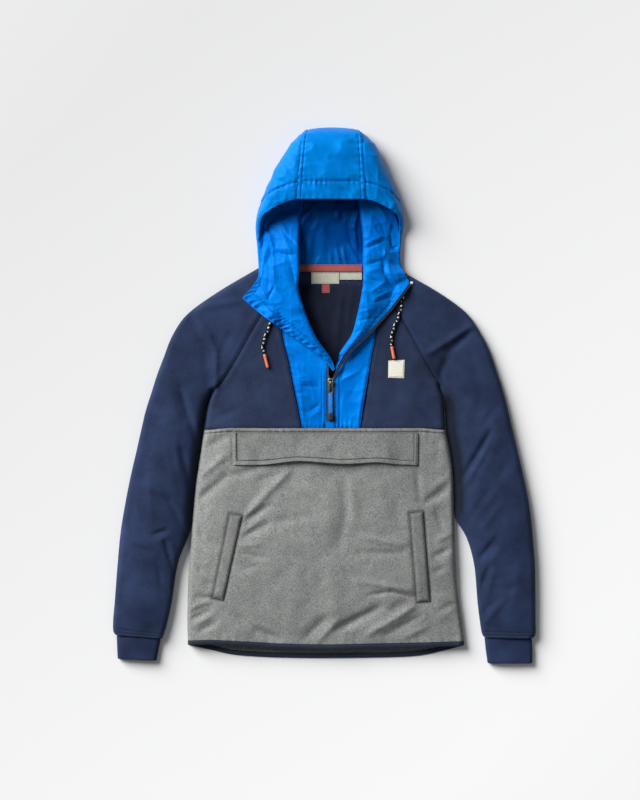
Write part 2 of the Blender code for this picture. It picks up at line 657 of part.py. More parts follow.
def hood():
    left = hood_grid([0] * len(HOOD_SIDE))
    right = hood_grid(HOOD_RIGHT_WIDER)
    right[..., 0] = 2 * MIDDLE_X - right[..., 0]
    seam_left = np.vstack([left[:, 0], left[-1, 1:]])
    seam_right = np.vstack([right[:, 0], right[-1, 1:]])
    shares = np.linspace(0, 1, 5)
    gusset = np.zeros((len(seam_left), len(shares), 3))
    run = np.gradient((seam_left + seam_right) / 2, axis=0)
    for i, (a, b) in enumerate(zip(seam_left, seam_right)):
        outward = np.array([0, -run[i, 2], run[i, 1]])
        outward *= -1 / max(np.linalg.norm(outward), 1e-9)
        rise = ramp(i, len(left) - 4, len(left) + 5)
        bulge = GUSSET_BULGE * rise * (1 - 0.6 * ramp(i, len(left) + 5, len(seam_left) - 1))
        for j, share in enumerate(shares):
            gusset[i, j] = a + (b - a) * share + outward * bulge * math.sin(math.pi * share) ** 0.7
    gusset[:, :, 2] = np.maximum(gusset[:, :, 2], 0)

    gusset_normals = under_normals(gusset)
    for name, grid, j in (("hood_side_left", left, 0), ("hood_side_right", right, -1)):
        normals = under_normals(grid)
        seam = np.vstack([normals[:, 0], normals[-1, 1:]]) + gusset_normals[:, j]
        seam /= np.linalg.norm(seam, axis=1, keepdims=True)
        normals[:, 0], normals[-1] = seam[:len(grid)], seam[len(grid) - 1:]
        gusset_normals[:, j] = seam
        sheet(name, grid, normals, PADDING, "blue nylon")
    for j, other in ((0, 1), (-1, -2)):
        step = gusset[:, other] - gusset[:, j]
        gusset[:, j] += step / np.linalg.norm(step, axis=1, keepdims=True) * 2 * GAP
    sheet("hood_gusset", gusset, gusset_normals, PADDING, "blue nylon")


def outwards(grid):
    """Level unit steps away from a sheet's last column, square to its edge."""
    run = np.gradient(grid[:, -1], axis=0)
    out = np.stack([-run[:, 1], run[:, 0], np.zeros(len(run))], axis=1)
    out *= np.sign((out * (grid[:, -1] - grid[:, -2])).sum(axis=1, keepdims=True))
    return out / np.linalg.norm(out, axis=1, keepdims=True)


def facing(side):
    """The turned-out lining: under, round the roll, over to the zip or the hood's edge."""
    rows = []
    for edge_x, edge_y, roll_x, roll_y, stands, crest, rim in FACINGS[side]:
        edge, roll = np.array([edge_x, edge_y]), np.array([roll_x, roll_y])
        width = np.linalg.norm(edge - roll)
        out = (edge - roll) / width

        def over_front(share):
            x, y = roll + out * width * share
            return top(x, y) + LIFT

        if stands is None:
            low = over_front(0.15)
            tuck = min(ROLL_TUCK, 0.5 * width)
            half = crest / 2
            profile = [(tuck, over_front(tuck / width)), (half, over_front(half / width)),
                       (0.15 * half, low + 0.45 * half), (0, low + half),
                       (0.3 * half, low + 1.6 * half), (half, low + crest),
                       (0.35 * width + 0.5 * half, max(over_front(0.4) + FACING, low + crest * 0.94)),
                       (0.66 * width, over_front(0.66) + FACING + 0.42 * crest),
                       (0.88 * width, over_front(0.88) + FACING + 0.1 * crest),
                       (width, over_front(1) + FACING)]
        else:
            profile = [(5.0, stands), (3.0, stands + 5), (1.0, 0.35 * crest), (0, 0.6 * crest),
                       (1.5, 0.85 * crest), (7, crest), (0.4 * width, crest * 0.97),
                       (0.66 * width, crest * 0.4 + rim * 0.6 + 3),
                       (0.88 * width, rim + 2.2), (width, rim)]
        rows.append([(*(roll + out * a), z) for a, z in profile])
    rows = np.array(rows)
    grid = np.array([smooth(rows[:, j], 2) for j in range(rows.shape[1])]).transpose(1, 0, 2)
    grid[:, :, 2] = np.maximum(grid[:, :, 2], PADDING + 2 * GAP)
    for point in (point for row in grid[:14, 5:] for point in row):
        cord = distance(point[0], point[1], CORDS[side])
        hump = LIFT + CORD_HUMP * math.exp(-(cord / CORD_HUMP_WIDTH) ** 2)
        point[2] = max(point[2], top(point[0], point[1]) + LIFT + FACING + hump)
    normals = surface_normals(grid)
    middle = len(grid) // 2
    if normals[middle, -4, 2] < 0:
        normals = -normals
    out = outwards(grid)
    rim = normals[:, -1] - out * (normals[:, -1] * out).sum(axis=1, keepdims=True)
    normals[:, -1] = rim / np.linalg.norm(rim, axis=1, keepdims=True)
    thickness = np.full(grid.shape[:2], FACING)
    thickness[:3] *= np.array([0.5, 0.6, 0.75])[:, None]
    sheet(f"facing_{side}", grid, normals, thickness, "blue nylon")
    return grid, normals


# ---- placket, zip and trims ------------------------------------------------------------------

def placket(side):
    sign = -1 if side == "left" else 1
    neck = []
    for edge_x, edge_y, roll_x, roll_y, *_ in FACINGS[side][1:6]:
        out = np.array([edge_x - roll_x, edge_y - roll_y])
        neck.append(np.array([roll_x, roll_y]) + out / np.linalg.norm(out) * NECK_INSET)
    zip_x = MIDDLE_X + sign * ZIP_HALF
    foot = [(zip_x, CHEST_Y + GAP), (zip_x, -10.0), (zip_x, ZIP_TOP - 12), (zip_x, ZIP_TOP)]
    inner = smooth(foot + neck + [np.array([neck[-1][0] - 2 * sign, NECK_Y[side]])])
    seam = placket_seam(side, -sign * GAP / 2)
    inner = along(inner, np.linspace(0, 1, len(seam)))
    edges = (seam, inner) if side == "left" else (inner, seam)
    plan = patch(*edges, straight(edges[0][0], edges[1][0]), straight(edges[0][-1], edges[1][-1]),
                 None, np.linspace(0, 1, 4))
    points, normals = drape(plan, top, True)
    sheet(f"placket_{side}", points, normals, FLEECE, "blue nylon")


def zip_tapes(facings):
    for side, sign in (("left", -1), ("right", 1)):
        near, far = MIDDLE_X + sign * GAP / 2, MIDDLE_X + sign * (ZIP_HALF - 3 * GAP)
        columns = sorted((near, far))
        plan = np.array([[(x, y) for x in columns]
                         for y in np.linspace(ZIP_BOTTOM, ZIP_TOP - 8, 10)])
        points, normals = drape(plan, top, True)
        sheet(f"zip_tape_{side}", points, normals, TRIM, "dark zip")

        grid, edge_normals = facings[side]
        edge, outward = grid[2:13, -1], outwards(grid)[2:13]
        rim = edge_normals[2:13, -1]
        wide = 5.5 if side == "right" else 1.6
        begin = edge + outward * 1.5 * GAP - rim * 0.6
        strip = np.stack([begin, begin + outward * wide], axis=1)
        sheet(f"zip_tape_turned_{side}", strip, np.stack([rim, rim], axis=1), TRIM, "dark zip")
        if side == "right":
            tip = strip[-1].mean(axis=0) - rim[-1] * TRIM / 2
            run = tip - strip[-2].mean(axis=0)
            turn = math.atan2(run[1], run[0])
            block("zip_end_stop", (0, 0, 0), (2.4, 5.0, 2.4), "off-white label",
                  tip + run / np.linalg.norm(run) * 2.2, turn)


def block(name, low, high, cloth, centre=None, turn=0.0):
    """A small rounded block, from its corners, or from its size round a turned centre."""
    if centre is None:
        centre = (np.array(low, float) + np.array(high, float)) / 2
        size = np.array(high, float) - np.array(low, float)
    else:
        size = np.array(high, float)
    solid = bmesh.new()
    bmesh.ops.create_cube(solid, size=1)
    bmesh.ops.scale(solid, vec=Vector(size * MM), verts=solid.verts)
    upright = [e for e in solid.edges if abs(e.verts[0].co.z - e.verts[1].co.z) > 1e-6]
    bmesh.ops.bevel(solid, geom=upright, offset=min(size[:2]) * 0.18 * MM, segments=2,
                    affect="EDGES", profile=0.5)
    mesh = bpy.data.meshes.new(name)
    solid.to_mesh(mesh)
    solid.free()
    mesh.materials.append(material(cloth))
    made = bpy.data.objects.new(name, mesh)
    made.location = Vector(centre) * MM
    made.rotation_euler.z = turn
    bpy.context.collection.objects.link(made)
    return made


def trims():
    for name, (x0, y0, x1, y1, z), cloth in (
            ("neck_tape", NECK_TAPE, "coral tape"), ("main_label", MAIN_LABEL, "off-white label"),
            ("size_label", SIZE_LABEL, "off-white label"), ("loop_tab", LOOP_TAB, "coral tape")):
        plain_box(name, (x0, y0, z), (x1, y1, z + TRIM), cloth)
    laid("chest_patch", CHEST_PATCH, 4, 4, TRIM, "off-white label")
    laid("zip_garage", ZIP_GARAGE, 3, 4, TRIM, "blue nylon")
    laid("welt_left", WELT_LEFT, 9, 4, FLEECE, "marl grey fleece")
    laid("welt_right", WELT_RIGHT, 9, 4, FLEECE, "marl grey fleece")


def plain_box(name, low, high, cloth):
    (x0, y0, z0), (x1, y1, z1) = low, high
    outer = np.array([[(x0, y0, z1), (x1, y0, z1)], [(x0, y1, z1), (x1, y1, z1)]], float)
    normals = np.broadcast_to((0.0, 0.0, 1.0), outer.shape)
    return sheet(name, outer, normals, z1 - z0, cloth)


def flap():
    """The chest flap, sewn on below the chest seam, with a band round its three free sides."""
    plan = patch(FLAP_LEFT, FLAP_RIGHT, smooth(FLAP_BOTTOM), FLAP_TOP,
                 np.linspace(0, 1, 6), np.linspace(0, 1, 21))

    def stand_off(share_up, share_across):
        return LIFT + FLAP_OPEN * (1 - share_up) ** 1.6 * math.sin(math.pi * share_across) ** 1.2

    rows, columns = plan.shape[:2]
    band_u, band_v = FLAP_BAND / FLAP_SIZE[0], FLAP_BAND / FLAP_SIZE[1]
    inner, lift = plan.copy(), np.zeros((rows, columns))
    for i, v in enumerate(np.linspace(band_v, 1, rows)):
        for j, u in enumerate(np.linspace(band_u, 1 - band_u, columns)):
            inner[i, j], lift[i, j] = resample(plan, v, u), stand_off(v, u)
    lie_on_front("chest_flap", inner, FLEECE, "marl grey fleece", lift)

    # The band: up, along and down the free sides, each row from the edge in to the flap
    path = ([(v, 0) for v in np.linspace(1, band_v, 5)] + [(0, 0)]
            + [(0, u) for u in np.linspace(2 * band_u, 1 - 2 * band_u, 20)] + [(0, 1)]
            + [(v, 1) for v in np.linspace(band_v, 1, 5)])
    plan_band, lift_band = [], []
    gap_u, gap_v = GAP / FLAP_SIZE[0], GAP / FLAP_SIZE[1]
    for v, u in path:
        v_in = min(max(v, band_v - gap_v), 1)
        u_in = min(max(u, band_u - gap_u), 1 - band_u + gap_u)
        plan_band.append([resample(plan, v, u), resample(plan, v_in, u_in)])
        lift_band.append([stand_off(v, u), stand_off(v_in, u_in)])
    lie_on_front("flap_binding", np.array(plan_band), BINDING, "marl grey fleece",
                 np.array(lift_band))


def resample(plan, v, u):
    """The plan point at a share of the way up and across."""
    rows, columns = plan.shape[0] - 1, plan.shape[1] - 1
    i, j = min(int(v * rows), rows - 1), min(int(u * columns), columns - 1)
    a, b = v * rows - i, u * columns - j
    return ((plan[i, j] * (1 - a) + plan[i + 1, j] * a) * (1 - b)
            + (plan[i, j + 1] * (1 - a) + plan[i + 1, j + 1] * a) * b)


def tube_curve(name, points, radius, cloth):
    curve = bpy.data.curves.new(name, "CURVE")
    curve.dimensions = "3D"
    curve.bevel_depth = radius * MM
    curve.bevel_resolution = 2
    curve.use_fill_caps = True
    spline = curve.splines.new("POLY")
    spline.points.add(len(points) - 1)
    for point, co in zip(spline.points, points):
        point.co = (*(float(c) * MM for c in co), 1)
    curve.materials.append(material(cloth))
    made = bpy.data.objects.new(name, curve)
    bpy.context.collection.objects.link(made)


def drawcords():
    for side, cord, tip in (("left", CORD_LEFT, TIP_LEFT), ("right", CORD_RIGHT, TIP_RIGHT)):
        line = smooth(cord, 2)
        tube_curve(f"drawcord_{side}",
                   [(x, y, top(x, y) + LIFT + CORD_RADIUS) for x, y in line],
                   CORD_RADIUS, "black cord")
        tube_curve(f"cord_tip_{side}",
                   [(x, y, top(x, y) + LIFT + TIP_RADIUS) for x, y in straight(*tip, 4)],
                   TIP_RADIUS, "orange tip")


def cylinder(name, radius, depth, segments=20):
    """A cylinder along X round the origin."""
    solid = bmesh.new()
    bmesh.ops.create_cone(solid, cap_ends=True, segments=segments, radius1=radius * MM,
                          radius2=radius * MM, depth=depth * MM)
    bmesh.ops.rotate(solid, verts=solid.verts, cent=(0, 0, 0),
                     matrix=Vector((1, 0, 0)).to_track_quat("Z", "Y").to_matrix())
    mesh = bpy.data.meshes.new(name)
    solid.to_mesh(mesh)
    solid.free()
    made = bpy.data.objects.new(name, mesh)
    bpy.context.collection.objects.link(made)
    return made


def combine(target, tool, operation):
    change = target.modifiers.new(tool.name, "BOOLEAN")
    change.object = tool
    change.operation = operation
    tool.hide_render = True
    tool.display_type = "WIRE"


def zip_pull():
    x, y = SLIDER
    width, length, height = SLIDER_SIZE
    base = max(top(x, y - length / 2), top(x, y + length / 2), top(x, y)) + LIFT
    pin_z = base + height + PIN_UP
    slider = block("zip_slider", (x - width / 2, y - length / 2, base),
                   (x + width / 2, y + length / 2, base + height), "gunmetal")
    for share in (-1, 1):
        lug = plain_cutter(f"lug_{share}", LUG, (x + share * LUG_X, y, pin_z - LUG[2] / 2 + LUG[0]))
        combine(slider, lug, "UNION")
    pin = cylinder("pin", PIN_RADIUS, 2 * LUG_X)
    pin.location = (x * MM, y * MM, pin_z * MM)
    combine(slider, pin, "UNION")

    hinge = bpy.data.objects.new("pull_hinge", None)
    hinge.location = (x * MM, y * MM, pin_z * MM)
    bpy.context.collection.objects.link(hinge)

    eye = cylinder("pull_tab", EYE_RADIUS, EYE_WIDTH)
    eye.data.materials.append(material("gunmetal"))
    eye.parent = hinge
    slope = math.radians(PULL_SLOPE)
    reach = TAB_SIZE[1] / 2 + TAIL_START
    tail = plain_cutter("tab_tail", TAB_SIZE,
                        (0, -math.cos(slope) * reach, -math.sin(slope) * reach))
    tail.rotation_euler.x = slope
    tail.parent = hinge
    combine(eye, tail, "UNION")
    bore = cylinder("tab_bore", PIN_RADIUS + GAP, 2 * EYE_WIDTH)
    bore.parent = hinge
    combine(eye, bore, "DIFFERENCE")

    end_y = y - math.cos(slope) * (TAB_SIZE[1] + TAIL_START) - GAP
    strap_y = end_y - STRAP_SIZE[1]
    plan = np.array([[(x - STRAP_SIZE[0] / 2, v), (x, v), (x + STRAP_SIZE[0] / 2, v)]
                     for v in np.linspace(strap_y, end_y, 6)])
    heights = np.array([[top(*p) + LIFT + STRAP_SIZE[2] for p in row] for row in plan])
    heights[:] = heights.max(axis=1, keepdims=True)
    outer = np.dstack([plan, heights])
    up = np.broadcast_to((0.0, 0.0, 1.0), outer.shape)
    sheet("pull_strap", outer, up, STRAP_SIZE[2], "blue nylon")
    low = max(top(x, strap_y - GAP), top(x, strap_y - END_SIZE[1])) + LIFT
    block("pull_end", (x - END_SIZE[0] / 2, strap_y - GAP - END_SIZE[1], low),
          (x + END_SIZE[0] / 2, strap_y - GAP, low + END_SIZE[2]), "dark zip")


def plain_cutter(name, size, centre):
    solid = bmesh.new()
    bmesh.ops.create_cube(solid, size=1)
    bmesh.ops.scale(solid, vec=Vector(size) * MM, verts=solid.verts)
    mesh = bpy.data.meshes.new(name)
    solid.to_mesh(mesh)
    solid.free()
    made = bpy.data.objects.new(name, mesh)
    made.location = Vector(centre) * MM
    bpy.context.collection.objects.link(made)
    return made


def main():
    for old in list(bpy.data.objects):
        bpy.data.objects.remove(old)
    body_panels()
    for side in ("left", "right"):
        sleeve(side)
        cuff(side)
        placket(side)
    hood()
    facings = {side: facing(side) for side in ("left", "right")}
    zip_tapes(facings)
    trims()
    flap()
    drawcords()
    zip_pull()


main()
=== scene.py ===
"""Looks of a hooded half-zip fleece anorak that lies flat on its back with its neck turned open.

X runs across the chest, Y from the hem up to the hood and Z up from the table. Lengths here are
in millimetres and become metres when a mesh is made. Every cloth piece is a thin shell on the
form of its solid, with its own creases, gathers, seams and stitches.
"""

import json
import math

import bpy
import numpy as np
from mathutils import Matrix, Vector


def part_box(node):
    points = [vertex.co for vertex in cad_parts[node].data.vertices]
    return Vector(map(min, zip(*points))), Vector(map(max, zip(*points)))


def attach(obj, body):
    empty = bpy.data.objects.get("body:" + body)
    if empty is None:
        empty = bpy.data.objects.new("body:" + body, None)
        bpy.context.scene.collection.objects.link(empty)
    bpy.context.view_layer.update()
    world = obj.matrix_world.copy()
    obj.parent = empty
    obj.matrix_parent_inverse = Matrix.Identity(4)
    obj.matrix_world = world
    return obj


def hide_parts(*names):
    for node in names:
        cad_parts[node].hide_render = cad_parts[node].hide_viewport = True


MM = 0.001
GARMENT, PULL = "garment", "zip_pull"
BOTH = (("left", -1), ("right", 1))      # the two sides, and their way from the middle along X

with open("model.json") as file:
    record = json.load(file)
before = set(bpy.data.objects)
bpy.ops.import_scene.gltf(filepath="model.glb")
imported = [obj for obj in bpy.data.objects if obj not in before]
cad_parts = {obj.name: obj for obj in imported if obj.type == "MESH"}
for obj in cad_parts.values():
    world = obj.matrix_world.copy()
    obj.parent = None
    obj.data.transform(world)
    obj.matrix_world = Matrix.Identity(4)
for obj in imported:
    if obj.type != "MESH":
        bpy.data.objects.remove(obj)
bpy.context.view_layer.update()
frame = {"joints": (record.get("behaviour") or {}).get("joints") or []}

# ---- sizes ------------------------------------------------------------------------------------

# Cloth, in mm
FLEECE = 2.0           # brushed fleece
NYLON = 1.8            # nylon of the placket
PADDING = 3.6          # padded hood
LINING = 1.8           # turned-out lining of the lapels
TAPE = 0.9             # tapes and labels
BINDING = 2.8          # bound edges
GAP = 0.3              # between pieces at a seam
CLOSED = 0.5           # how far the rounded edges press into each other at a closed seam
LIFT = 0.35            # between a panel and what lies on it

# Form of the garment as it lies, as in its solids
SEAM_Z = 5.6           # height of the side seams
FRONT_Z, BACK_Z = SEAM_Z + GAP / 2, SEAM_Z - GAP / 2      # and of the two edges that meet there
EDGE_ROUND = 7.5
BODY_CROWN = 12.0
SLEEVE_CROWN = 9.0
BODY_SPREAD = 42.0
HEM_Y = -470.0
CHEST_Y = -63.5
MIDDLE_X = 12.5
FRONT_HEM_CROWN = 0.62
PLUMP = 4.0            # air in the cloth near its folded edges
BELLY = 11.0           # air under the middle of the grey front
SLEEVE_AIR = 7.0       # and under the middle of each sleeve
FLANK = {"left": 11, "right": 18}      # width of the sleeve's inner side that dips beside the body
HEM_FALL = 70.0
CUFF_CROWN = 4.0
SEAM_LAP = 3.0         # of the grey front over the chest seam
SOLID_FACING, SOLID_PADDING = 3.0, 4.2      # walls of the solids of lapels and hood

# Outlines from the hem or the cuff upwards: x, y
SIDE_LEFT = [(-258.5, -469.5), (-259.5, -425.5), (-257.5, -349.5), (-254, -296.5), (-249, -235.5),
             (-243, -171), (-233, -102.5), (-227, -63.5), (-219.5, -17), (-211, 8.5)]
SIDE_RIGHT = [(266, -469.5), (260.5, -425.5), (253, -368.5), (249.5, -302), (247, -235.5),
              (245.5, -178.5), (243, -131), (236.5, -92), (231, -63.5), (227.5, -12), (218.5, 19)]
RAGLAN_LEFT = [(-211, 8.5), (-192, 28.5), (-165.5, 71), (-140.5, 116), (-118, 154), (-93, 195),
               (-70.5, 235.5)]
RAGLAN_RIGHT = [(218.5, 19), (204, 43.5), (184.5, 76), (161.5, 119.5), (137, 163.5), (114, 199.5),
                (92, 235.5)]

# Sleeve sections from the cuff to the neck: inner x, y and outer x, y
SLEEVE_LEFT = [
    (-306, -460, -395, -454), (-304, -455, -400, -445.5), (-297.5, -435, -400, -422),
    (-288, -391.5, -397, -387.5), (-275.5, -315.5, -391.5, -315.5),
    (-252, -254.5, -385.5, -254.5), (-245.7, -197.5, -376, -197.5), (-240.1, -150, -366.5, -150),
    (-233.1, -102.5, -355.5, -102.5), (-227.3, -64.5, -347, -64.5),
    (-220.9, -24.5, -338, -26.5), (-212.6, 5.5, -327, 8), (-192, 28.5, -317.5, 38),
    (-165.5, 71, -304, 74), (-140.5, 116, -287, 116), (-118, 154, -258.5, 156),
    (-93, 195, -198, 199.5), (-70.5, 235.5, -124, 243),
]
SLEEVE_RIGHT = [
    (304, -458.5, 395, -460), (298.5, -450, 401.5, -452), (294.5, -425.5, 401.5, -425.5),
    (290, -387.5, 401.5, -387.5), (284, -321, 400.5, -321), (270, -270, 397, -273.5),
    (249, -232, 393.5, -235.5), (246.2, -197.5, 388, -197.5), (244.5, -154, 379, -154),
    (239.1, -106.5, 368, -106.5), (231.3, -64.5, 358, -64.5), (228, -17, 347, -17),
    (219.7, 16, 337, 19), (204, 43.5, 328, 45.5), (184.5, 76, 315.5, 81.5),
    (161.5, 119.5, 299, 116), (137, 163.5, 270, 157.5), (114, 199.5, 217.5, 196.5),
    (92, 235.5, 147, 237),
]
ARMPIT = {"left": 11, "right": 12}      # row of the sleeve's sections at the armpit
ARMPIT_Y = {"left": 6.0, "right": 16.0}
CUFF_LEFT = [(-309.5, -460.2, -393.5, -454.5), (-314, -482, -392.5, -480),
             (-317.5, -502, -391.5, -498.5)]
CUFF_RIGHT = [(304.5, -458.9, 394.5, -460.4), (307, -482, 395.5, -482),
              (310.5, -507, 395.5, -507)]

PLACKET_LEFT = [(-42, -63.5), (-50.5, -17), (-60, 28.5), (-67.5, 66.5), (-79, 114), (-80, 154),
                (-74, 194), (-68, 222)]
PLACKET_RIGHT = [(69.5, -63.5), (76, -17), (83.5, 28.5), (90, 66.5), (98, 114), (99, 154),
                 (94, 194), (91, 216)]
ZIP_HALF = 7.8
ZIP_TOP = 42.0
ZIP_BOTTOM = -60.0
NECK_INSET = 6.0
NECK_Y = {"left": 206.0, "right": 186.0}

FRONT_HEM = [(-258.5, -463), (-212, -461.5), (-146.5, -464.5), (-74, -468.5), (-1, -470),
             (55, -469), (181.5, -466.5), (266, -464)]
BACK_HEM = [(-258.5, -463), (-219, -471.5), (-172, -481.5), (-110, -486), (-55, -487.5),
            (11.5, -488), (118.5, -486.5), (181.5, -483), (229, -473.5), (266, -464)]
HEM_BAND = 8.0
BACK_NECK = (13, 236.5)

# Turned-out facing from the zip to the inside of the hood:
# edge x, y, roll x, y, height of what it stands on (None: the front), height of crest, of edge
FACING_LEFT = [
    (8, 58, 17, 62, None, 5, None), (-2, 69, 9, 78, None, 9, None),
    (-38, 97, -10, 104, None, 13, None), (-82, 127, -28, 139, None, 14, None),
    (-118, 153, -40, 173, None, 14, None), (-154, 185, -48, 202, None, 14, None),
    (-137, 205, -48, 220, None, 15, None), (-125, 226, -47, 239, 5, 38, 22),
    (-124, 253, -47, 262, 5, 36, 15.5), (-124, 281, -47, 287, 5, 34, 16),
    (-121, 306, -46, 314, 5, 33, 19), (-112, 330, -44, 342, 5, 32, 23),
    (-100, 349, -40, 367, 5, 30, 24), (-88, 368, -34, 388, 5, 27, 22),
]
FACING_RIGHT = [
    (37, 73, 28, 71, None, 5, None), (42, 78, 30, 82, None, 9, None),
    (55, 92, 40, 97, None, 11, None), (76, 112, 53, 118, None, 13, None),
    (103, 140, 61, 146, None, 14, None), (129, 170, 68, 177, None, 14, None),
    (162, 214, 73, 205, None, 14, None), (153, 232, 74, 226, 5, 38, 26),
    (141, 251, 74, 247, 5, 36, 15.5), (139.5, 274, 74, 270, 5, 34, 15.5),
    (140.5, 296, 74, 293, 5, 33, 17), (138, 325, 71, 322, 5, 32, 22),
    (128, 349, 66, 354, 5, 30, 24), (116, 366, 60, 384, 5, 27, 22),
]
FACINGS = {"left": FACING_LEFT, "right": FACING_RIGHT}
# The tip of each lapel at the foot of the open neck, as one more row below its table
LAPEL_TIPS = {"left": (17.5, 46, 20.5, 50, None, 2.6, None),
              "right": (23.5, 50, 21.5, 54, None, 2.6, None)}
GATHER_BAND = [6, 10, 16, 21, 22, 22, 19] + [0] * 7      # along the left lapel's edge, for each row
LAPEL_SEAM = {"left": 4.0, "right": 7.0}        # from the lapel's edge to its line of stitches
LAPEL_RAISED = {"left": 4.0, "right": 8.5}      # how far its edge stands off beside the zip
HOOD_SHADE = {"left": 26.0, "right": 12.0}      # how far it sinks back under the hood's front edge
DEEP_SHADE = {"left": 0.6, "right": 0.3}        # and how much painted shade darkens it there
ROLL_TUCK = 11.0
CORD_HUMP = 11.0
CORD_HUMP_WIDTH = 20.0

# Hood side from the neck to the crown; each section from under the hood out and over: x, y, z
HOOD_SIDE = [
    ((-46, 238.4, 0), (-82, 239.5, 0), (-114, 242.4, 0), (-123, 243.5, 5.5), (-123, 243.5, 8),
     (-122.3, 243.5, 9.5), (-121.5, 243.5, 11)),
    ((-46, 266, 0), (-84, 266, 0), (-114, 266, 0), (-124, 266, 6), (-123.5, 266, 8.5),
     (-122.8, 266, 10), (-121.8, 266, 11.5)),
    ((-46, 296, 0), (-86, 296, 0), (-116, 296, 0), (-127, 296, 7), (-126.8, 296, 10),
     (-125.6, 296, 12), (-124, 296, 13.5)),
    ((-46, 327, 0), (-86, 325, 0), (-117, 321, 0), (-129, 318, 9), (-128, 319, 15),
     (-125.5, 319, 19), (-121.5, 319, 21.5)),
    ((-45, 363, 0), (-82, 355, 0), (-114, 346, 0), (-126, 344, 13), (-125, 343, 24),
     (-122, 341, 31), (-117, 338, 35)),
    ((-44, 395, 0), (-74, 388, 0), (-102, 376, 0), (-115, 377, 15), (-112, 370, 31),
     (-110, 359, 40), (-106, 348, 44)),
    ((-42, 426, 0), (-65, 418, 0), (-88, 406, 0), (-100, 413, 17), (-100, 399, 36),
     (-98, 376, 45), (-96, 354, 47)),
    ((-40, 450, 0), (-51, 444, 0), (-69, 437, 0), (-81, 450, 18), (-82, 429, 39),
     (-83, 395, 48), (-84, 360, 49)),
    ((-38, 470, 0), (-43, 465, 0), (-53, 461, 0), (-63, 478, 18), (-65, 456, 40),
     (-67, 410, 50), (-68, 366, 50.5)),
    ((-37, 480, 0), (-37, 487, 0.3), (-37.5, 494, 3), (-38.5, 502.5, 17), (-43, 484, 40),
     (-48, 429, 51), (-52, 370, 51)),
]
HOOD_RIGHT_WIDER = (0, -6, -5, -3, 0, 1, 1, 2, 6, 5)
WIDER_SHARE = (0, 0.3, 0.8, 1, 1, 0.7, 0.4)
GUSSET_BULGE = 6.5
QUILT_LINE = 31.0      # from the hood's face edge to the stitched line round it
SEAM_BAND = 8.0        # width of the raised bands along the hood's seams

# Chest pocket flap
FLAP_LEFT = np.array([(-171.5, -130), (-173, -69)])
FLAP_RIGHT = np.array([(177.5, -130.5), (178, -69)])
FLAP_BOTTOM = [(-171.5, -130), (-112, -129), (-49.5, -122), (11.5, -126), (45.5, -127.5),
               (99, -124.5), (138.5, -128.5), (177.5, -130.5)]
FLAP_WIDTH, FLAP_HEIGHT = 350.0, 60.0
FLAP_BAND = 7.6        # width of the band round it
FLAP_OPEN = 7.0        # how far its lower edge stands off

# Four corners of each flat piece sewn on: top left, top right, bottom right, bottom left
WELT_LEFT = [(-178.5, -222), (-154, -225.5), (-190, -387.5), (-212, -383.5)]
WELT_RIGHT = [(161.5, -221), (188, -217.5), (201.5, -389), (175, -390.5)]
WELTS = {"left": WELT_LEFT, "right": WELT_RIGHT}
WELT_OUTLINES = [np.array(corners + corners[:1], float) for corners in WELTS.values()]
CHEST_PATCH = [(121.5, 67), (153, 68.5), (152, 33), (121, 34)]
ZIP_GARAGE = [(4, -48), (21, -48), (21, -62.6), (4, -62.6)]

# Neck trims: left, bottom, right, top and the height of their upper face
NECK_TAPE = (-47, 236, 72, 249.5, 5.6)
MAIN_LABEL = (-24, 213, 29, 235, 3.85)
SIZE_LABEL = (30, 220.5, 72, 235, 3.85)
LOOP_TAB = (-4, 195.5, 11, 212.5, 3.85)

# Drawcords: x, y along each as it lies on the front, from under the facing to its tip
CORD_RADIUS = 2.7
TIP_RADIUS = 3.1
CORD_LEFT = [(-97, 153), (-99, 148), (-102, 135.5), (-106.5, 123.5), (-112, 110), (-115.5, 95),
             (-114, 81)]
TIP_LEFT = [(-112.6, 79), (-106, 53)]
CORD_RIGHT = [(151, 195), (150, 190), (147.5, 180.5), (146, 167), (141.5, 152), (136, 138.5),
              (130.5, 125.5), (127.5, 110), (127.8, 96)]
TIP_RIGHT = [(128.2, 93.5), (132.6, 70)]

# Zip: its slider and pull, and the right half from the slider up to the lapel's edge
SLIDER = (12.5, 26.0)
SLIDER_WIDTH, SLIDER_LENGTH, SLIDER_HEIGHT = 10.5, 14.0, 3.6
PIN_RADIUS, BAR_RADIUS = 0.9, 0.75
TAB_LENGTH = 20.7      # from the pin to the end of the metal tab
TAB_HALF, FOOT_HALF = 2.9, 4.3      # half its width at the pin and at the strap
STRAP_WIDTH = 8.6
TOOTH_PITCH = 1.9
ZIP_LEAD = [(16.5, 34), (19.5, 41), (24.5, 51), (31, 61)]

# Camera and what it frames
PHOTO_CENTRE = (-7.6, -7.6)
VIEW_HEIGHT = 1520.0   # of the whole picture, at the table
CAMERA_UP = 5000.0

# Stitches
STITCH_PITCH, STITCH_LENGTH, STITCH_RADIUS = 3.1, 2.3, 0.30
TWIN = 3.2             # each row of twin-needle stitching stands this far from the seam
SLEEVE_HEM = (5.8, 11.4)      # rows of stitches above the sleeve's edge

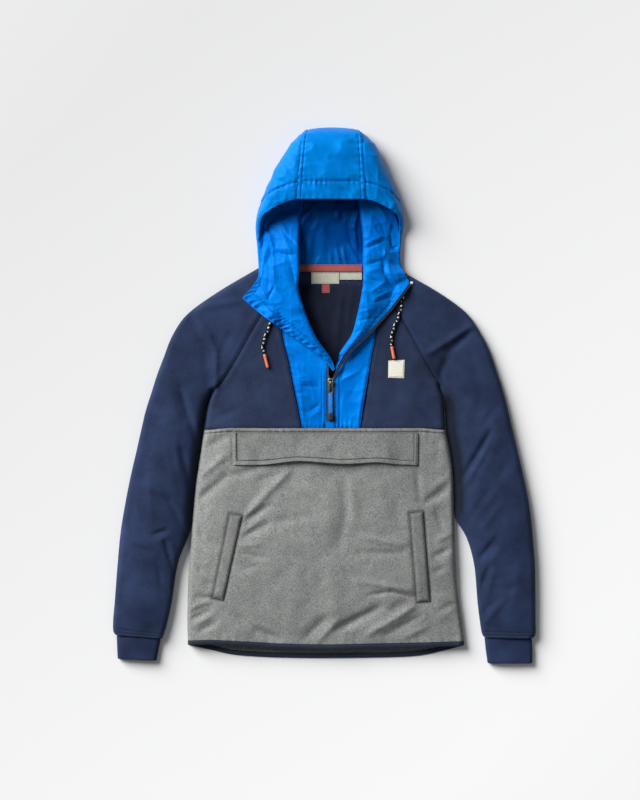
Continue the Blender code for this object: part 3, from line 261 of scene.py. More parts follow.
# Folds of the solids: from x, y to x, y, height (minus for a trough), half width
FOLDS = [
    (-244, 143, -203, 88, 3.0, 9), (-203, 88, -207, 14, 2.6, 8), (-222, 112, -200, 70, -2.2, 8),
    (-270, 15, -262, -40, -3.2, 11), (-262, -40, -244, -86, -2.6, 10),
    (-322, -262, -300, -255, -2.4, 7), (-355, -286, -328, -296, -2.2, 8),
    (-306, -280, -284, -338, 2.2, 9), (-380, -150, -340, -160, -1.6, 9),
    (275, 132, 204, 84, 3.2, 9), (268, 112, 236, 90, -3.0, 9), (241, 91, 222, 24, 2.4, 7),
    (238, 60, 240, -38, -3.6, 9), (308, -86, 264, -172, -3.4, 9), (330, -80, 290, -170, 2.4, 9),
    (294, -232, 327, -194, -2.6, 8), (292, -308, 327, -282, -2.4, 8),
    (304, -367, 355, -361, -2.2, 7), (300, -340, 352, -330, 1.8, 8),
    (175, -380, 135, -401, -3.2, 8), (135, -401, 40, -433, -2.6, 9),
    (182, -414, 118, -443, 2.4, 9), (228, -184, 194, -200, -2.6, 7),
    (-230, -190, -182, -141, -2.6, 8), (-110, -160, -148, -217, -2.0, 9),
    (-152, -272, -110, -251, -2.0, 6), (-158, -317, -127, -306, -1.8, 6),
    (-253, -418, -224, -391, -2.4, 8), (-230, -437, -190, -409, -2.2, 8),
    (-158, -418, -86, -456, -2.2, 8), (-48, -452, -10, -424, -1.8, 8),
    (210, -270, 204, -330, -1.6, 8), (-205, -300, -222, -360, -1.6, 8),
]

# Creases of the front and the sleeves as they lie, in the same columns
CREASES = [
    # left sleeve
    (-232, 169, -160, 179, 2.6, 8), (-242, 146, -217, 114, 3.0, 6), (-217, 114, -204, 76, 3.4, 6),
    (-204, 76, -205, 21, 3.2, 6), (-205, 21, -217, -27, 2.4, 6), (-255, 139, -228, 106, -2.6, 8),
    (-226, 99, -220, 40, -2.0, 9), (-296, 87, -289, -112, 2.2, 13), (-272, 15, -258, -30, -3.2, 6),
    (-258, -30, -239, -87, -3.6, 7), (-285, 2, -274, -65, 1.6, 9), (-269, -103, -252, -169, -3.8, 7),
    (-281, -84, -274, -141, 1.8, 7), (-300, -84, -283, -179, 1.6, 10),
    (-325, -184, -293, -198, -2.6, 6), (-293, -198, -266, -249, -2.8, 6),
    (-331, -156, -327, -220, 2.0, 8), (-322, -261, -298, -254, -3.4, 4),
    (-315, -274, -293, -266, 2.0, 5), (-355, -287, -327, -294, -2.0, 6),
    (-359, -304, -331, -312, 1.4, 8), (-302, -270, -293, -304, -3.2, 4),
    (-293, -304, -281, -338, -2.6, 4), (-289, -274, -281, -304, 1.6, 4),
    (-315, -312, -306, -372, -1.6, 6), (-363, -179, -367, -236, -1.8, 9),
    (-378, -369, -331, -382, 1.0, 10), (-300, -357, -289, -388, -1.6, 6),
    (-369, -407, -319, -410, -0.9, 7), (-331, -84, -338, -141, -1.0, 10),
    # right sleeve
    (198, 81, 241, 107, 3.4, 6), (241, 107, 281, 132, 3.4, 6), (277, 124, 239, 87, -3.4, 7),
    (239, 87, 222, 42, -4.2, 8), (222, 42, 226, 8, -4.2, 8), (226, 8, 238, -30, -3.6, 7),
    (314, -68, 285, -118, -3.6, 6), (285, -118, 258, -165, -4.4, 7), (310, -95, 258, -182, 3.2, 6),
    (352, -122, 312, -179, -1.6, 11), (312, -179, 272, -238, -2.6, 9), (327, -268, 294, -308, -3.2, 6),
    (332, -289, 304, -331, 1.8, 7), (314, -317, 293, -376, -3.4, 6), (319, -334, 308, -380, 1.6, 6),
    (340, -386, 304, -429, 2.4, 6), (323, -388, 300, -410, -1.8, 5), (304, -53, 323, -23, -1.6, 7),
    (270, -46, 285, 8, 1.2, 9), (293, 30, 277, 84, -1.0, 10), (372, -312, 357, -388, 1.0, 10),
    (334, -207, 296, -255, 1.4, 7), (344, -369, 372, -357, -1.0, 8),
    # grey
    (-220, -97, -182, -78, -3.0, 9), (-230, -148, -186, -112, 3.0, 7),
    (-236, -196, -184, -154, -3.4, 8), (-184, -154, -129, -139, -2.4, 8),
    (-152, -232, -106, -182, 3.2, 7), (-106, -182, -65, -142, 3.0, 7),
    (-152, -236, -103, -207, -2.8, 6), (-125, -160, -84, -148, -1.6, 7),
    (-152, -266, -106, -241, -2.8, 6), (-106, -241, -23, -224, -2.0, 9),
    (-148, -255, -118, -232, 1.4, 4), (-156, -296, -114, -306, -2.4, 6),
    (-156, -283, -122, -279, 1.6, 4), (-152, -327, -125, -319, -1.6, 5), (38, -156, 42, -224, -1.8, 10),
    (42, -224, 30, -283, -2.4, 11), (53, -171, 57, -236, 1.4, 9), (6, -179, 11, -274, 1.2, 12),
    (70, -266, 154, -281, 2.2, 6), (70, -296, 148, -298, -2.2, 7), (63, -350, 162, -365, 2.4, 6),
    (84, -376, 127, -370, -2.8, 4), (127, -370, 169, -380, -3.2, 4), (27, -441, 65, -420, -4.2, 8),
    (65, -420, 106, -399, -4.4, 8), (84, -450, 125, -426, 3.2, 6), (125, -426, 169, -399, 3.2, 6),
    (118, -450, 182, -416, -3.6, 7), (148, -458, 194, -437, 2.0, 6), (-36, -458, 4, -420, -3.2, 8),
    (-11, -464, 27, -422, 2.4, 6), (-171, -412, -127, -446, -3.4, 7), (-127, -446, -84, -462, -2.6, 7),
    (-141, -426, -91, -446, 1.6, 6), (-239, -380, -194, -384, -3.0, 5),
    (-255, -403, -217, -388, 2.6, 5), (-255, -426, -218, -407, -3.0, 5),
    (-243, -433, -213, -416, 2.0, 4), (-234, -445, -203, -428, -2.6, 5),
    (-234, -255, -228, -270, -2.6, 6), (-238, -323, -230, -336, -2.6, 6),
    (-224, -350, -205, -361, -2.2, 5), (-226, -289, -213, -304, 1.6, 6),
    (-224, -228, -209, -213, 1.4, 7), (190, -203, 234, -171, -2.4, 9), (201, -182, 238, -150, 1.8, 9),
    (175, -141, 182, -196, -2.2, 6), (213, -220, 224, -251, -1.8, 6), (209, -304, 239, -289, -2.4, 6),
    (209, -334, 224, -327, -2.0, 6), (213, -274, 239, -262, 1.6, 5), (213, -376, 236, -388, 1.6, 6),
    (217, -407, 243, -395, -1.8, 6), (-53, -312, -46, -388, 1.0, 14), (-8, -312, -4, -380, -0.9, 12),
    (135, -198, 144, -236, -1.0, 9), (106, -160, 114, -217, 0.9, 10), (220, -84, 213, -125, -1.2, 8),
    # chest
    (-173, 125, -194, 84, -1.6, 8), (-194, -8, -175, -46, -1.8, 9), (-160, 68, -141, 2, 1.0, 10),
    (-213, -46, -160, -23, -1.6, 8), (-190, 46, -213, 8, 1.4, 7), (-118, 30, -106, -27, -0.9, 9),
    (144, 2, 182, -36, 1.4, 9), (182, -17, 213, -53, -1.4, 8), (114, 8, 122, -42, -0.8, 9),
    (190, 106, 163, 141, -1.0, 8), (201, 46, 182, 87, 0.9, 7), (152, 97, 148, 125, 0.8, 8),
]

# Creases of the lapels and of the hood's outside: x, y to x, y, height, half width
LAPEL_CREASES = {
    "left": [
        (-112, 325, -104, 310, -3.4, 3), (-118, 317, -117, 281, -2.6, 3), (-104, 308, -97, 283, 3.2, 4),
        (-97, 283, -94, 255, 3.2, 4), (-94, 255, -93, 211, 2.8, 4), (-103, 277, -106, 201, -2.4, 4),
        (-91, 271, -57, 265, -3.0, 3.5), (-87, 279, -59, 276, 1.4, 4), (-89, 201, -51, 175, -2.2, 4),
        (-67, 264, -51, 201, -1.8, 5), (-114, 262, -103, 296, 1.8, 2.5), (-109, 251, -101, 281, -1.6, 2.5),
        (-118, 228, -112, 266, 1.6, 2.5), (-94, 211, -106, 184, -2.6, 3.5), (-78, 310, -53, 285, -1.8, 4),
        (-84, 331, -68, 304, 1.6, 5), (-51, 255, -48, 213, 1.4, 4), (-118, 201, -106, 182, 1.4, 3),
        (-46, 171, -36, 144, -1.4, 4), (-63, 167, -46, 162, 1.4, 4), (-78, 239, -65, 213, 1.0, 6),
    ],
    "right": [
        (78, 279, 113, 294, -2.8, 3), (80, 287, 110, 302, 1.6, 3.5), (127, 304, 131, 281, -3.4, 3),
        (131, 281, 141, 282, -2.6, 2.5), (115, 279, 113, 264, 2.4, 3), (113, 264, 127, 257, 2.2, 3),
        (83, 249, 110, 257, -2.6, 3), (113, 256, 115, 232, -2.6, 3), (115, 232, 125, 214, -2.6, 3),
        (125, 214, 139, 200, -2.2, 3), (120, 255, 124, 232, 1.8, 3), (124, 232, 133, 215, 1.6, 3),
        (80, 224, 106, 213, -2.0, 4), (91, 198, 114, 215, 2.0, 4), (95, 177, 122, 186, -2.2, 3),
        (99, 186, 125, 198, 1.6, 3), (63, 142, 89, 146, -1.8, 3), (68, 158, 95, 165, 1.4, 4),
        (49, 116, 68, 124, -1.4, 3), (84, 236, 103, 239, 1.8, 3), (141, 255, 152, 239, -2.0, 3),
        (131, 325, 127, 304, -1.8, 4), (91, 346, 87, 304, 1.4, 6), (106, 331, 118, 304, -1.6, 4),
        (137, 230, 144, 213, 1.4, 3), (76, 198, 84, 167, 1.2, 5),
    ],
}
CAP_CREASES = [
    (36, 448, 58, 432, -2.2, 6), (28, 470, 50, 452, 1.6, 8), (48, 486, 66, 470, -1.8, 6),
    (-20, 440, -8, 410, -1.2, 9), (-30, 480, -14, 455, 1.2, 9), (4, 430, 22, 408, 1.2, 9),
    (-92, 410, -72, 398, -1.4, 6), (-76, 440, -60, 424, -1.4, 6), (-110, 372, -96, 380, 1.2, 6),
    (-104, 352, -94, 364, -1.4, 5), (84, 424, 100, 404, -1.6, 6), (96, 396, 120, 386, 1.4, 7),
    (112, 376, 126, 360, -1.4, 5), (86, 452, 98, 436, 1.2, 6), (-8, 396, 6, 384, -1.4, 5),
    (30, 394, 44, 380, -1.4, 5), (-36, 392, -28, 378, 1.2, 4), (56, 392, 64, 378, 1.2, 4),
]
# Folds of the hood's lining on the floor of its hollow
HOLLOW_FOLDS = [
    (-20, 361, -46, 320, 5.0, 5), (-14, 350, -30, 312, -2.4, 5), (28, 372, 26, 340, 5.5, 4),
    (38, 372, 34, 330, -2.2, 4), (66, 361, 56, 320, 6.0, 5), (56, 320, 62, 280, 5.0, 4),
    (46, 330, 52, 286, -2.4, 5), (24, 276, 30, 250, 3.4, 3), (36, 280, 42, 250, 3.6, 3),
    (48, 284, 64, 256, 3.8, 3), (-24, 300, -30, 254, 2.4, 5), (0, 330, -4, 262, 2.0, 7),
    (12, 268, 14, 246, 2.6, 3), (-10, 262, -14, 246, 2.0, 3), (-34, 268, -38, 246, 2.4, 3),
]

# Creases that run from the placket's seams towards the zip: x, y to x, y, height, half width
PLACKET_CREASES = [
    (-52, 20, -13, 17, -2.8, 3.5), (-49, 30, -19, 28, 1.6, 4), (-50, 35, -36, 37, 1.8, 3),
    (-48, 6, -36, 8, -2.0, 3), (-48, 0, -27, -2, 1.2, 4), (-44, -28, -27, -32, -2.0, 3),
    (-25, -27, -4, -13, -2.6, 4), (-23, -38, -4, -25, 1.8, 4), (-34, 48, -10, 28, -1.8, 5),
    (-72, 97, -46, 84, 1.6, 5), (-65, 76, -38, 61, -1.6, 4), (-59, 57, -38, 51, 1.6, 4),
    (28, 27, 64, 46, 3.0, 4.5), (27, 32, 42, 61, -4.6, 5), (42, 61, 57, 80, -4.6, 6),
    (78, 8, 68, 4, -1.6, 3), (72, -8, 59, -11, 1.0, 4), (61, 23, 49, -4, -1.0, 5),
    (40, 8, 34, -15, 0.9, 5), (80, 57, 68, 42, -1.2, 4),
    (-50, 60, -36, -60, 3.6, 13), (78, 40, 62, -60, 4.4, 13),
]
# Folds of the back inside the neck
BACK_FOLDS = [(34, 190, 22, 90, 1.8, 7), (-12, 200, 6, 110, 1.4, 8), (52, 196, 44, 130, 1.2, 6)]
# Soft waves across the flap: x, y to x, y, height, half width
FLAP_WAVES = [
    (-150, -80, -146, -126, 1.6, 9), (-118, -82, -122, -124, -1.2, 9), (-84, -80, -78, -122, 1.8, 10),
    (-48, -82, -52, -120, -1.0, 9), (-16, -80, -12, -122, 1.2, 10), (22, -82, 18, -122, -1.2, 9),
    (52, -80, 58, -124, 1.8, 9), (86, -82, 82, -122, -1.4, 9), (116, -80, 122, -122, 2.2, 9),
    (150, -82, 146, -124, -1.0, 9),
]


# ---- materials --------------------------------------------------------------------------------

def linear(hex_colour):
    """The linear colour of an sRGB hex value."""
    parts = [int(hex_colour[k:k + 2], 16) / 255 for k in (1, 3, 5)]
    return tuple(c / 12.92 if c <= 0.04045 else ((c + 0.055) / 1.055) ** 2.4 for c in parts) + (1,)


def add(made, kind, inputs=(), out=0, stops=(), **settings):
    """Adds a node to a material with its settings, its colour stops, and its inputs as values or
    links. Gives one of its outputs, the first if none is named."""
    tree = made.node_tree
    node = tree.nodes.new("ShaderNode" + kind)
    for name, value in settings.items():
        setattr(node, name, value)
    for name, value in dict(inputs).items():
        if isinstance(value, bpy.types.NodeSocket):
            tree.links.new(value, node.inputs[name])
        else:
            node.inputs[name].default_value = value
    for k, (position, colour) in enumerate(dict(stops).items()):
        node.color_ramp.elements[k].position = position
        node.color_ramp.elements[k].color = linear(colour)
    return node.outputs[out]


def start_material(name, roughness, **sockets):
    """A new material, and the object coordinates that its patterns read."""
    made = bpy.data.materials.new(name)
    made.use_nodes = True
    for socket, value in dict(sockets, Roughness=roughness).items():
        shader = made.node_tree.nodes["Principled BSDF"]
        shader.inputs[socket.replace("_", " ")].default_value = value
    return made, add(made, "TexCoord", out="Object")


def dress(made, colour, height, strength, depth, seams=()):
    """Gives a material its colour and the relief of a pattern, in mm. The piece's own attribute
    "seam" holds painted shade: it is 1 down in a seam, under a stitch and wherever shade is
    painted on; with seams, the colour goes down to those shares of red, green and blue there."""
    inputs = made.node_tree.nodes["Principled BSDF"].inputs
    if seams:
        painted_shade = add(made, "Attribute", out="Fac", attribute_name="seam")
        colour = add(made, "Mix", {"Factor": painted_shade, "A": colour, "B": (*seams, 1)}, "Result",
                     data_type="RGBA", blend_type="MULTIPLY")
    made.node_tree.links.new(colour, inputs["Base Color"])
    relief = add(made, "Bump", {"Height": height, "Strength": strength, "Distance": depth * MM})
    made.node_tree.links.new(relief, inputs["Normal"])
    return made


def fleece_material(name, dark, light, cloudy, seams=0.4):
    """Brushed polyester fleece: matt, with a soft nap that catches light at a slant."""
    made, place = start_material(name, 0.92, Sheen_Weight=0.28, Sheen_Roughness=0.45,
                                 Specular_IOR_Level=0.25, Sheen_Tint=linear(cloudy))
    tufts = add(made, "TexNoise", {"Vector": place, "Scale": 1 / 0.0016, "Detail": 3})   # 1.6 mm
    strokes = add(made, "TexNoise", {"Vector": place, "Scale": 1 / 0.045})     # of the nap, 45 mm
    both = add(made, "Math", {0: tufts, 1: strokes}, operation="ADD")
    half = add(made, "Math", {0: both, 1: 0.5}, operation="MULTIPLY")
    colour = add(made, "ValToRGB", {"Fac": half}, stops={0.36: dark, 0.64: light})
    # seams: the share of the colour left under the painted shade of seams and hollows
    return dress(made, colour, tufts, 0.35, 0.5, (seams,) * 3)


def marl_material():
    """Marl fleece: light and dark yarns knitted together, brushed to a short grey nap."""
    made, place = start_material("marl grey fleece", 0.93, Sheen_Weight=0.22, Sheen_Roughness=0.5,
                                 Specular_IOR_Level=0.2, Sheen_Tint=linear("#C9CBC6"))
    stretch = add(made, "Mapping", {"Vector": place, "Scale": (1.25, 0.8, 1.0)})
    flecks = add(made, "TexNoise", {"Vector": stretch, "Scale": 1 / 0.0022, "Detail": 4,
                                    "Roughness": 0.75})                 # yarn flecks, about 2 mm
    clumps = add(made, "TexNoise", {"Vector": place, "Scale": 1 / 0.012})      # they gather, 12 mm
    clouds = add(made, "TexNoise", {"Vector": place, "Scale": 1 / 0.07, "Detail": 1})
    colour = add(made, "ValToRGB", {"Fac": flecks}, stops={0.33: "#454745", 0.67: "#ABADAB"})
    tint = add(made, "ValToRGB", {"Fac": clumps}, stops={0.3: "#6C6D6B", 0.7: "#8A8B89"})
    mixed = add(made, "Mix", {"Factor": 0.3, "A": colour, "B": tint}, "Result", data_type="RGBA")
    tone = add(made, "MapRange", {"Value": clouds, "From Min": 0.3, "From Max": 0.7, "To Min": 0.0,
                                  "To Max": 0.35})
    toned = add(made, "Mix", {"Factor": tone, "A": mixed, "B": (0.78, 0.78, 0.78, 1)}, "Result",
                data_type="RGBA", blend_type="MULTIPLY")
    # Painted shade in seams and hollows darkens the marl to about a quarter
    return dress(made, toned, flecks, 0.6, 0.6, (0.26,) * 3)


def nylon_material(name, dark, light, roughness):
    """Downproof nylon taffeta: close plain weave, calendered to a soft gloss."""
    made, place = start_material(name, roughness, Specular_IOR_Level=0.34,
                                 Specular_Tint=linear("#1E92F0"))
    clouds = add(made, "TexNoise", {"Vector": place, "Scale": 1 / 0.038, "Detail": 3})
    colour = add(made, "ValToRGB", {"Fac": clouds}, stops={0.3: dark, 0.7: light})
    # Yarns of 0.9 mm, coarser than real ones, so that they show
    warp, weft = (add(made, "TexWave", {"Vector": place.node.outputs["UV"], "Scale": 1 / (5.67 * MM),
                                        "Distortion": 0}, "Fac", bands_direction=way)
                  for way in "XY")
    crossed = add(made, "Math", {0: warp, 1: weft}, operation="MULTIPLY")
    slack = add(made, "TexNoise", {"Vector": place, "Scale": 1 / 0.009, "Detail": 3})    # 9 mm
    height = add(made, "Math", {0: crossed, 1: 0.12, 2: slack}, operation="MULTIPLY_ADD")
    # Painted shade in seams and hollows darkens the nylon towards a deeper blue
    return dress(made, colour, height, 0.42, 0.9, (0.2, 0.26, 0.4))


def woven_material(name, dark, light, roughness, rib=0.8):
    """Woven tape: ribs of the given width across it, with a little fluff."""
    made, place = start_material(name, roughness, Specular_IOR_Level=0.3)
    ribs = add(made, "TexWave", {"Vector": place.node.outputs["UV"], "Scale": 1 / (rib * 6.3 * MM),
                                 "Distortion": 0.4}, "Fac", bands_direction="X")
    fluff = add(made, "TexNoise", {"Vector": place, "Scale": 1 / 0.003})
    both = add(made, "Math", {0: ribs, 1: 0.35, 2: fluff}, operation="MULTIPLY_ADD")
    colour = add(made, "ValToRGB", {"Fac": both}, stops={0.3: dark, 0.95: light})
    # Painted shade in the stitch lines halves the tape's colour
    return dress(made, colour, both, 0.3, 0.3, (0.5,) * 3)


def cord_material():
    """Braided polyester cord: black strands with off-white ones that wind both ways and surface
    as slanted dashes about every 11 mm."""
    made, place = start_material("braided cord", 0.8, Specular_IOR_Level=0.3)
    turns = add(made, "SeparateXYZ", {"Vector": place.node.outputs["UV"]})
    along = turns.node.outputs["Y"]
    waves = []
    for way, turned, share in ((0.7, 0.0, 1.0), (-0.7, 1.8, 0.85)):
        wave = share
        for factor, start in ((way, turns), (1.5, 0.0)):
            angle = add(made, "Math", {0: along, 1: factor, 2: turned}, operation="MULTIPLY_ADD")
            angle = add(made, "Math", {0: angle, 1: start}, operation="ADD")
            sine = add(made, "Math", {0: angle}, operation="SINE")
            wave = add(made, "Math", {0: sine, 1: wave}, operation="MULTIPLY")
        waves.append(wave)
    flecks = add(made, "Math", {0: waves[0], 1: waves[1]}, operation="MAXIMUM")
    colour = add(made, "ValToRGB", {"Fac": flecks}, stops={0.58: "#07080A", 0.68: "#C9CAC6"})
    return dress(made, colour, flecks, 0.4, 0.5)


def moulded_material(name, colour, roughness, grain=0.0012):
    """Moulded plastic or rubber, or a thread's twist, with a fine grain of the given metres."""
    made, place = start_material(name, roughness)
    grit = add(made, "TexNoise", {"Vector": place, "Scale": 1 / grain})
    shaded = add(made, "Mix", {"Factor": grit, "A": linear(colour), "B": (0.8, 0.8, 0.8, 1)},
                 "Result", data_type="RGBA", blend_type="MULTIPLY")
    return dress(made, shaded, grit, 0.15, 0.15)


def plated_material(name, dark, light):
    """Antique gunmetal plate on a die-cast slider: dark in the corners, rubbed paler on edges."""
    made, place = start_material(name, 0.36, Metallic=1.0)
    rub = add(made, "TexNoise", {"Vector": place, "Scale": 1 / 0.004, "Detail": 3})
    colour = add(made, "ValToRGB", {"Fac": rub}, stops={0.35: dark, 0.7: light})
    return dress(made, colour, rub, 0.12, 0.2)


def table_material():
    """Pale matt table top with painted shade: a little darker towards the corner nearest the window."""
    made, place = start_material("pale table", 0.85, Specular_IOR_Level=0.1)
    slant = add(made, "VectorMath", {0: place, 1: (0.42, -0.48, 0.0)}, "Value",
                operation="DOT_PRODUCT")
    share = add(made, "MapRange", {"Value": slant, "From Min": -0.45, "From Max": 0.45})
    colour = add(made, "ValToRGB", {"Fac": share}, stops={0: "#D4D4D4", 1: "#F2F2F2"})
    made.node_tree.links.new(colour, made.node_tree.nodes["Principled BSDF"].inputs["Base Color"])
    return made


NAVY = fleece_material("navy fleece", "#192239", "#293654", "#54679A")
# Painted shade: the sleeves are the chest's navy fleece drawn darker, for the shade they lie in, and their
# painted seam shade goes deeper (0.2)
SHADED_SLEEVE_NAVY = fleece_material("navy fleece of the sleeves", "#172139", "#273657", "#5870B0", 0.2)
CUFF = fleece_material("navy fleece of the cuffs", "#18213A", "#243254", "#465D90")
MARL = marl_material()
HOOD = nylon_material("padded nylon of the hood", "#0068B8", "#0078C8", 0.42)
SHELL = nylon_material("nylon of the placket", "#0066C4", "#0078D6", 0.44)
LINING_CLOTH = nylon_material("nylon lining", "#0064C0", "#0076D2", 0.44)
BOUND = woven_material("stretch binding", "#121926", "#222D3E", 0.7)
# Painted shade: the coral tape is drawn darker than its own colour, and the neck labels darker than the
# same off-white cloth of the chest patch, for the shade that falls in the neck
CORAL = woven_material("coral twill tape", "#883B38", "#AA5B55", 0.8)
SHADED_LABEL = woven_material("blank woven label", "#A6A592", "#BEBCAA", 0.75, 0.5)
PATCH = woven_material("blank woven patch", "#DAD6C6", "#F0EDE2", 0.75, 0.5)
ZIP_CLOTH = woven_material("zip tape", "#262838", "#484A66", 0.75, 0.7)
TEETH = moulded_material("nylon coil", "#1F2130", 0.45)
PLATE = plated_material("antique gunmetal plate", "#8A7E66", "#E2D6B8")
HOLLOW_PLATE = plated_material("gunmetal plate in the hollows", "#1A1918", "#39352E")
CORD = cord_material()
TIP = moulded_material("moulded cord tip", "#EA7B52", 0.42)
STOP = moulded_material("moulded end stop", "#E8E6DE", 0.4)
STRAP = woven_material("blue pull tape", "#0064B4", "#1482D2", 0.6, 0.7)
GRIP = moulded_material("rubber grip", "#23262E", 0.6)
NAVY_THREAD = moulded_material("navy thread", "#2E3A60", 0.7, 0.0006)
GREY_THREAD = moulded_material("grey thread", "#8E908C", 0.7, 0.0006)
BLUE_THREAD = moulded_material("blue thread", "#0A6BC8", 0.6, 0.0006)

# The record's slot for each finish of a piece that stands for a solid
SLOTS = {finish.name: slot for slot, finishes in {
    "navy_fleece": (NAVY, SHADED_SLEEVE_NAVY, CUFF), "grey_fleece": (MARL,), "blue_nylon": (HOOD, SHELL),
    "blue_lining": (LINING_CLOTH,), "navy_binding": (BOUND,), "coral_tape": (CORAL,),
    "off_white_label": (SHADED_LABEL, PATCH), "zip_tape": (ZIP_CLOTH,), "gunmetal": (PLATE,),
    "end_stop_plastic": (STOP,), "pull_strap": (STRAP,), "pull_end_plastic": (GRIP,),
    "flecked_cord": (CORD,), "orange_tip": (TIP,)}.items() for finish in finishes}


# ---- curves -----------------------------------------------------------------------------------

def smooth(points, steps=8):
    """A smooth curve through the points, with so many steps between each two."""
    p = np.asarray(points, float)
    p = np.vstack([2 * p[0] - p[1], p, 2 * p[-1] - p[-2]])
    t = (np.arange(steps) / steps)[:, None]
    out = [0.5 * (2 * b + (c - a) * t + (2 * a - 5 * b + 4 * c - d) * t * t
                  + (3 * b - a - 3 * c + d) * t ** 3)
           for a, b, c, d in zip(p, p[1:], p[2:], p[3:])]
    return np.vstack(out + [p[-2:-1]])


def run_of(line, dims=3):
    """Length along a line up to each of its points."""
    steps = np.linalg.norm(np.diff(line[:, :dims], axis=0), axis=1)
    return np.concatenate([[0], np.cumsum(steps)])


def unit(vectors):
    """Vectors of length 1 along the given ones."""
    return vectors / np.maximum(np.linalg.norm(vectors, axis=-1, keepdims=True), 1e-12)


def sampled(places, run, line):
    """Points of a line at the given places along its run."""
    return np.stack([np.interp(places, run, column) for column in line.T], axis=-1)


def at(line, shares):
    """Points at the given shares of a line's length."""
    line, shares = np.asarray(line, float), np.asarray(shares, float)
    run = run_of(line, line.shape[1])
    return sampled(shares * run[-1], run, line)


def spaced(lengths, start, end, step):
    """Places along several lines at once: at the given ones from each end, and evenly between."""
    lengths = np.atleast_1d(np.asarray(lengths, float))
    start, end = np.array(start, float), np.array(end, float)
    squeeze = np.minimum(1, 0.42 * lengths / max(start[-1], end[-1]))[:, None]
    low, high = start[-1] * squeeze, lengths[:, None] - end[-1] * squeeze
    count = max(int(math.ceil((lengths.max() - start[-1] - end[-1]) / step)), 2)
    between = low + (high - low) * np.linspace(0, 1, count + 1)[1:-1]
    return np.hstack([start * squeeze, between, lengths[:, None] - end[::-1] * squeeze])


def respace(grid, start, end, step):
    """Moves the points of each row of a grid to the given places from its ends."""
    runs = [run_of(row) for row in grid]
    places = spaced([run[-1] for run in runs], start, end, step)
    return np.array([sampled(*row) for row in zip(places, runs, grid)])


def across(grid, start, end, step):
    """The same for a grid's columns."""
    return respace(grid.transpose(1, 0, 2), start, end, step).transpose(1, 0, 2)


def from_sides(p):
    """Distance of a grid's points along the cloth from its first and last column, and last row."""
    over = np.array([run_of(row) for row in p])
    up = np.array([run_of(column) for column in p.transpose(1, 0, 2)]).T
    return over, over[:, -1:] - over, up[-1:] - up


def rings(width, at_places=(), fine=0.6):
    """Places from an edge: close together at the edge and round each line of stitches."""
    places = {0.0, 0.7, 1.6, 2.8}
    for place in at_places:
        places |= {place - 2 * fine, place - fine, place, place + fine, place + 2 * fine}
    return [width + p for p in sorted(p for p in places if p >= 0)]


def beside(away, width):
    """1 on a line, falling softly to 0 about twice its half width away."""
    return np.exp(-(away / width) ** 2)


def distance(x, y, line):
    """Distance from each point to a line."""
    x, y = np.asarray(x, float), np.asarray(y, float)
    a = np.asarray(line, float)[:, :2]
    a, ab = a[:-1], np.diff(a, axis=0)
    px, py = x.ravel()[:, None] - a[:, 0], y.ravel()[:, None] - a[:, 1]
    t = np.clip((px * ab[:, 0] + py * ab[:, 1]) / np.maximum((ab ** 2).sum(1), 1e-9), 0, 1)
    return np.hypot(px - ab[:, 0] * t, py - ab[:, 1] * t).min(1).reshape(x.shape)


def near_lines(x, y, lines):
    """Distance to the nearest of some lines, blended softly where two are near."""
    return sum(np.maximum(distance(x, y, line), 1e-3) ** -4.0 for line in lines) ** -0.25


def offset(line, away):
    """A plan line moved sideways to its left."""
    run = np.gradient(line[:, :2], axis=0)
    return line[:, :2] + unit(np.stack([-run[:, 1], run[:, 0]], 1)) * away


def split(line, y):
    """The line below and above a height, both with the point at it."""
    cut = np.array([np.interp(y, line[:, 1], line[:, 0]), y])
    return np.vstack([line[line[:, 1] < y], cut]), np.vstack([cut, line[line[:, 1] > y]])


SIDES = {"left": smooth(SIDE_LEFT), "right": smooth(SIDE_RIGHT)}
SIDE_FOLDS = {side: np.vstack([line[0] - (0, 60), line]) for side, line in SIDES.items()}
RAGLANS = {"left": smooth(RAGLAN_LEFT), "right": smooth(RAGLAN_RIGHT)}
PLACKETS = {"left": smooth(PLACKET_LEFT), "right": smooth(PLACKET_RIGHT)}
CORDS = {"left": smooth(CORD_LEFT, 2), "right": smooth(CORD_RIGHT, 2)}
SLEEVES = {"left": smooth(SLEEVE_LEFT), "right": smooth(SLEEVE_RIGHT)}
OUTER = {side: rows[:, 2:] for side, rows in SLEEVES.items()}
UNDERARM = {side: np.vstack([rows[:ARMPIT[side] * 8 - 3, :2], RAGLANS[side][:1]])
            for side, rows in SLEEVES.items()}
FOLDED_EDGES = {"body": [OUTER["left"], SIDE_FOLDS["left"], OUTER["right"], SIDE_FOLDS["right"]],
                "sleeve": [OUTER["left"], UNDERARM["left"], OUTER["right"], UNDERARM["right"]]}
CHEST_LINE = np.array([(-228.0, CHEST_Y), (232.0, CHEST_Y)])


# ---- heights ----------------------------------------------------------------------------------

def ramp(value, low, high):
    """0 below a value, 1 above another and smooth between."""
    t = np.clip((np.asarray(value, float) - low) / (high - low), 0, 1)
    return t * t * (3 - 2 * t)


def quarter(value, radius):
    """Height of a quarter round of the given radius at a distance from its foot."""
    t = np.clip(value / radius, 0, 1)
    return radius * np.sqrt(1 - (1 - t) ** 2)


def soft_noise(x, y, size, seed):
    """Smooth unevenness from -0.5 to 0.5, with bumps of about the given size."""
    lattice = np.random.default_rng(seed).random((160, 160))
    u, v = (np.asarray(x) + 2000.0) / size, (np.asarray(y) + 2000.0) / size
    i, j = np.floor(u).astype(int), np.floor(v).astype(int)
    a, b = u - i, v - j
    a, b = a * a * (3 - 2 * a), b * b * (3 - 2 * b)

    def cell(di, dj):
        return lattice[(i + di) % 160, (j + dj) % 160]

    return ((cell(0, 0) * (1 - a) + cell(1, 0) * a) * (1 - b)
            + (cell(0, 1) * (1 - a) + cell(1, 1) * a) * b) - 0.5


def crumple(x, y, size, seed):
    """Unevenness with sharp ridges, as in crumpled nylon, from 0 to 1."""
    return (1 - 2 * np.abs(soft_noise(x, y, size, seed))) ** 3


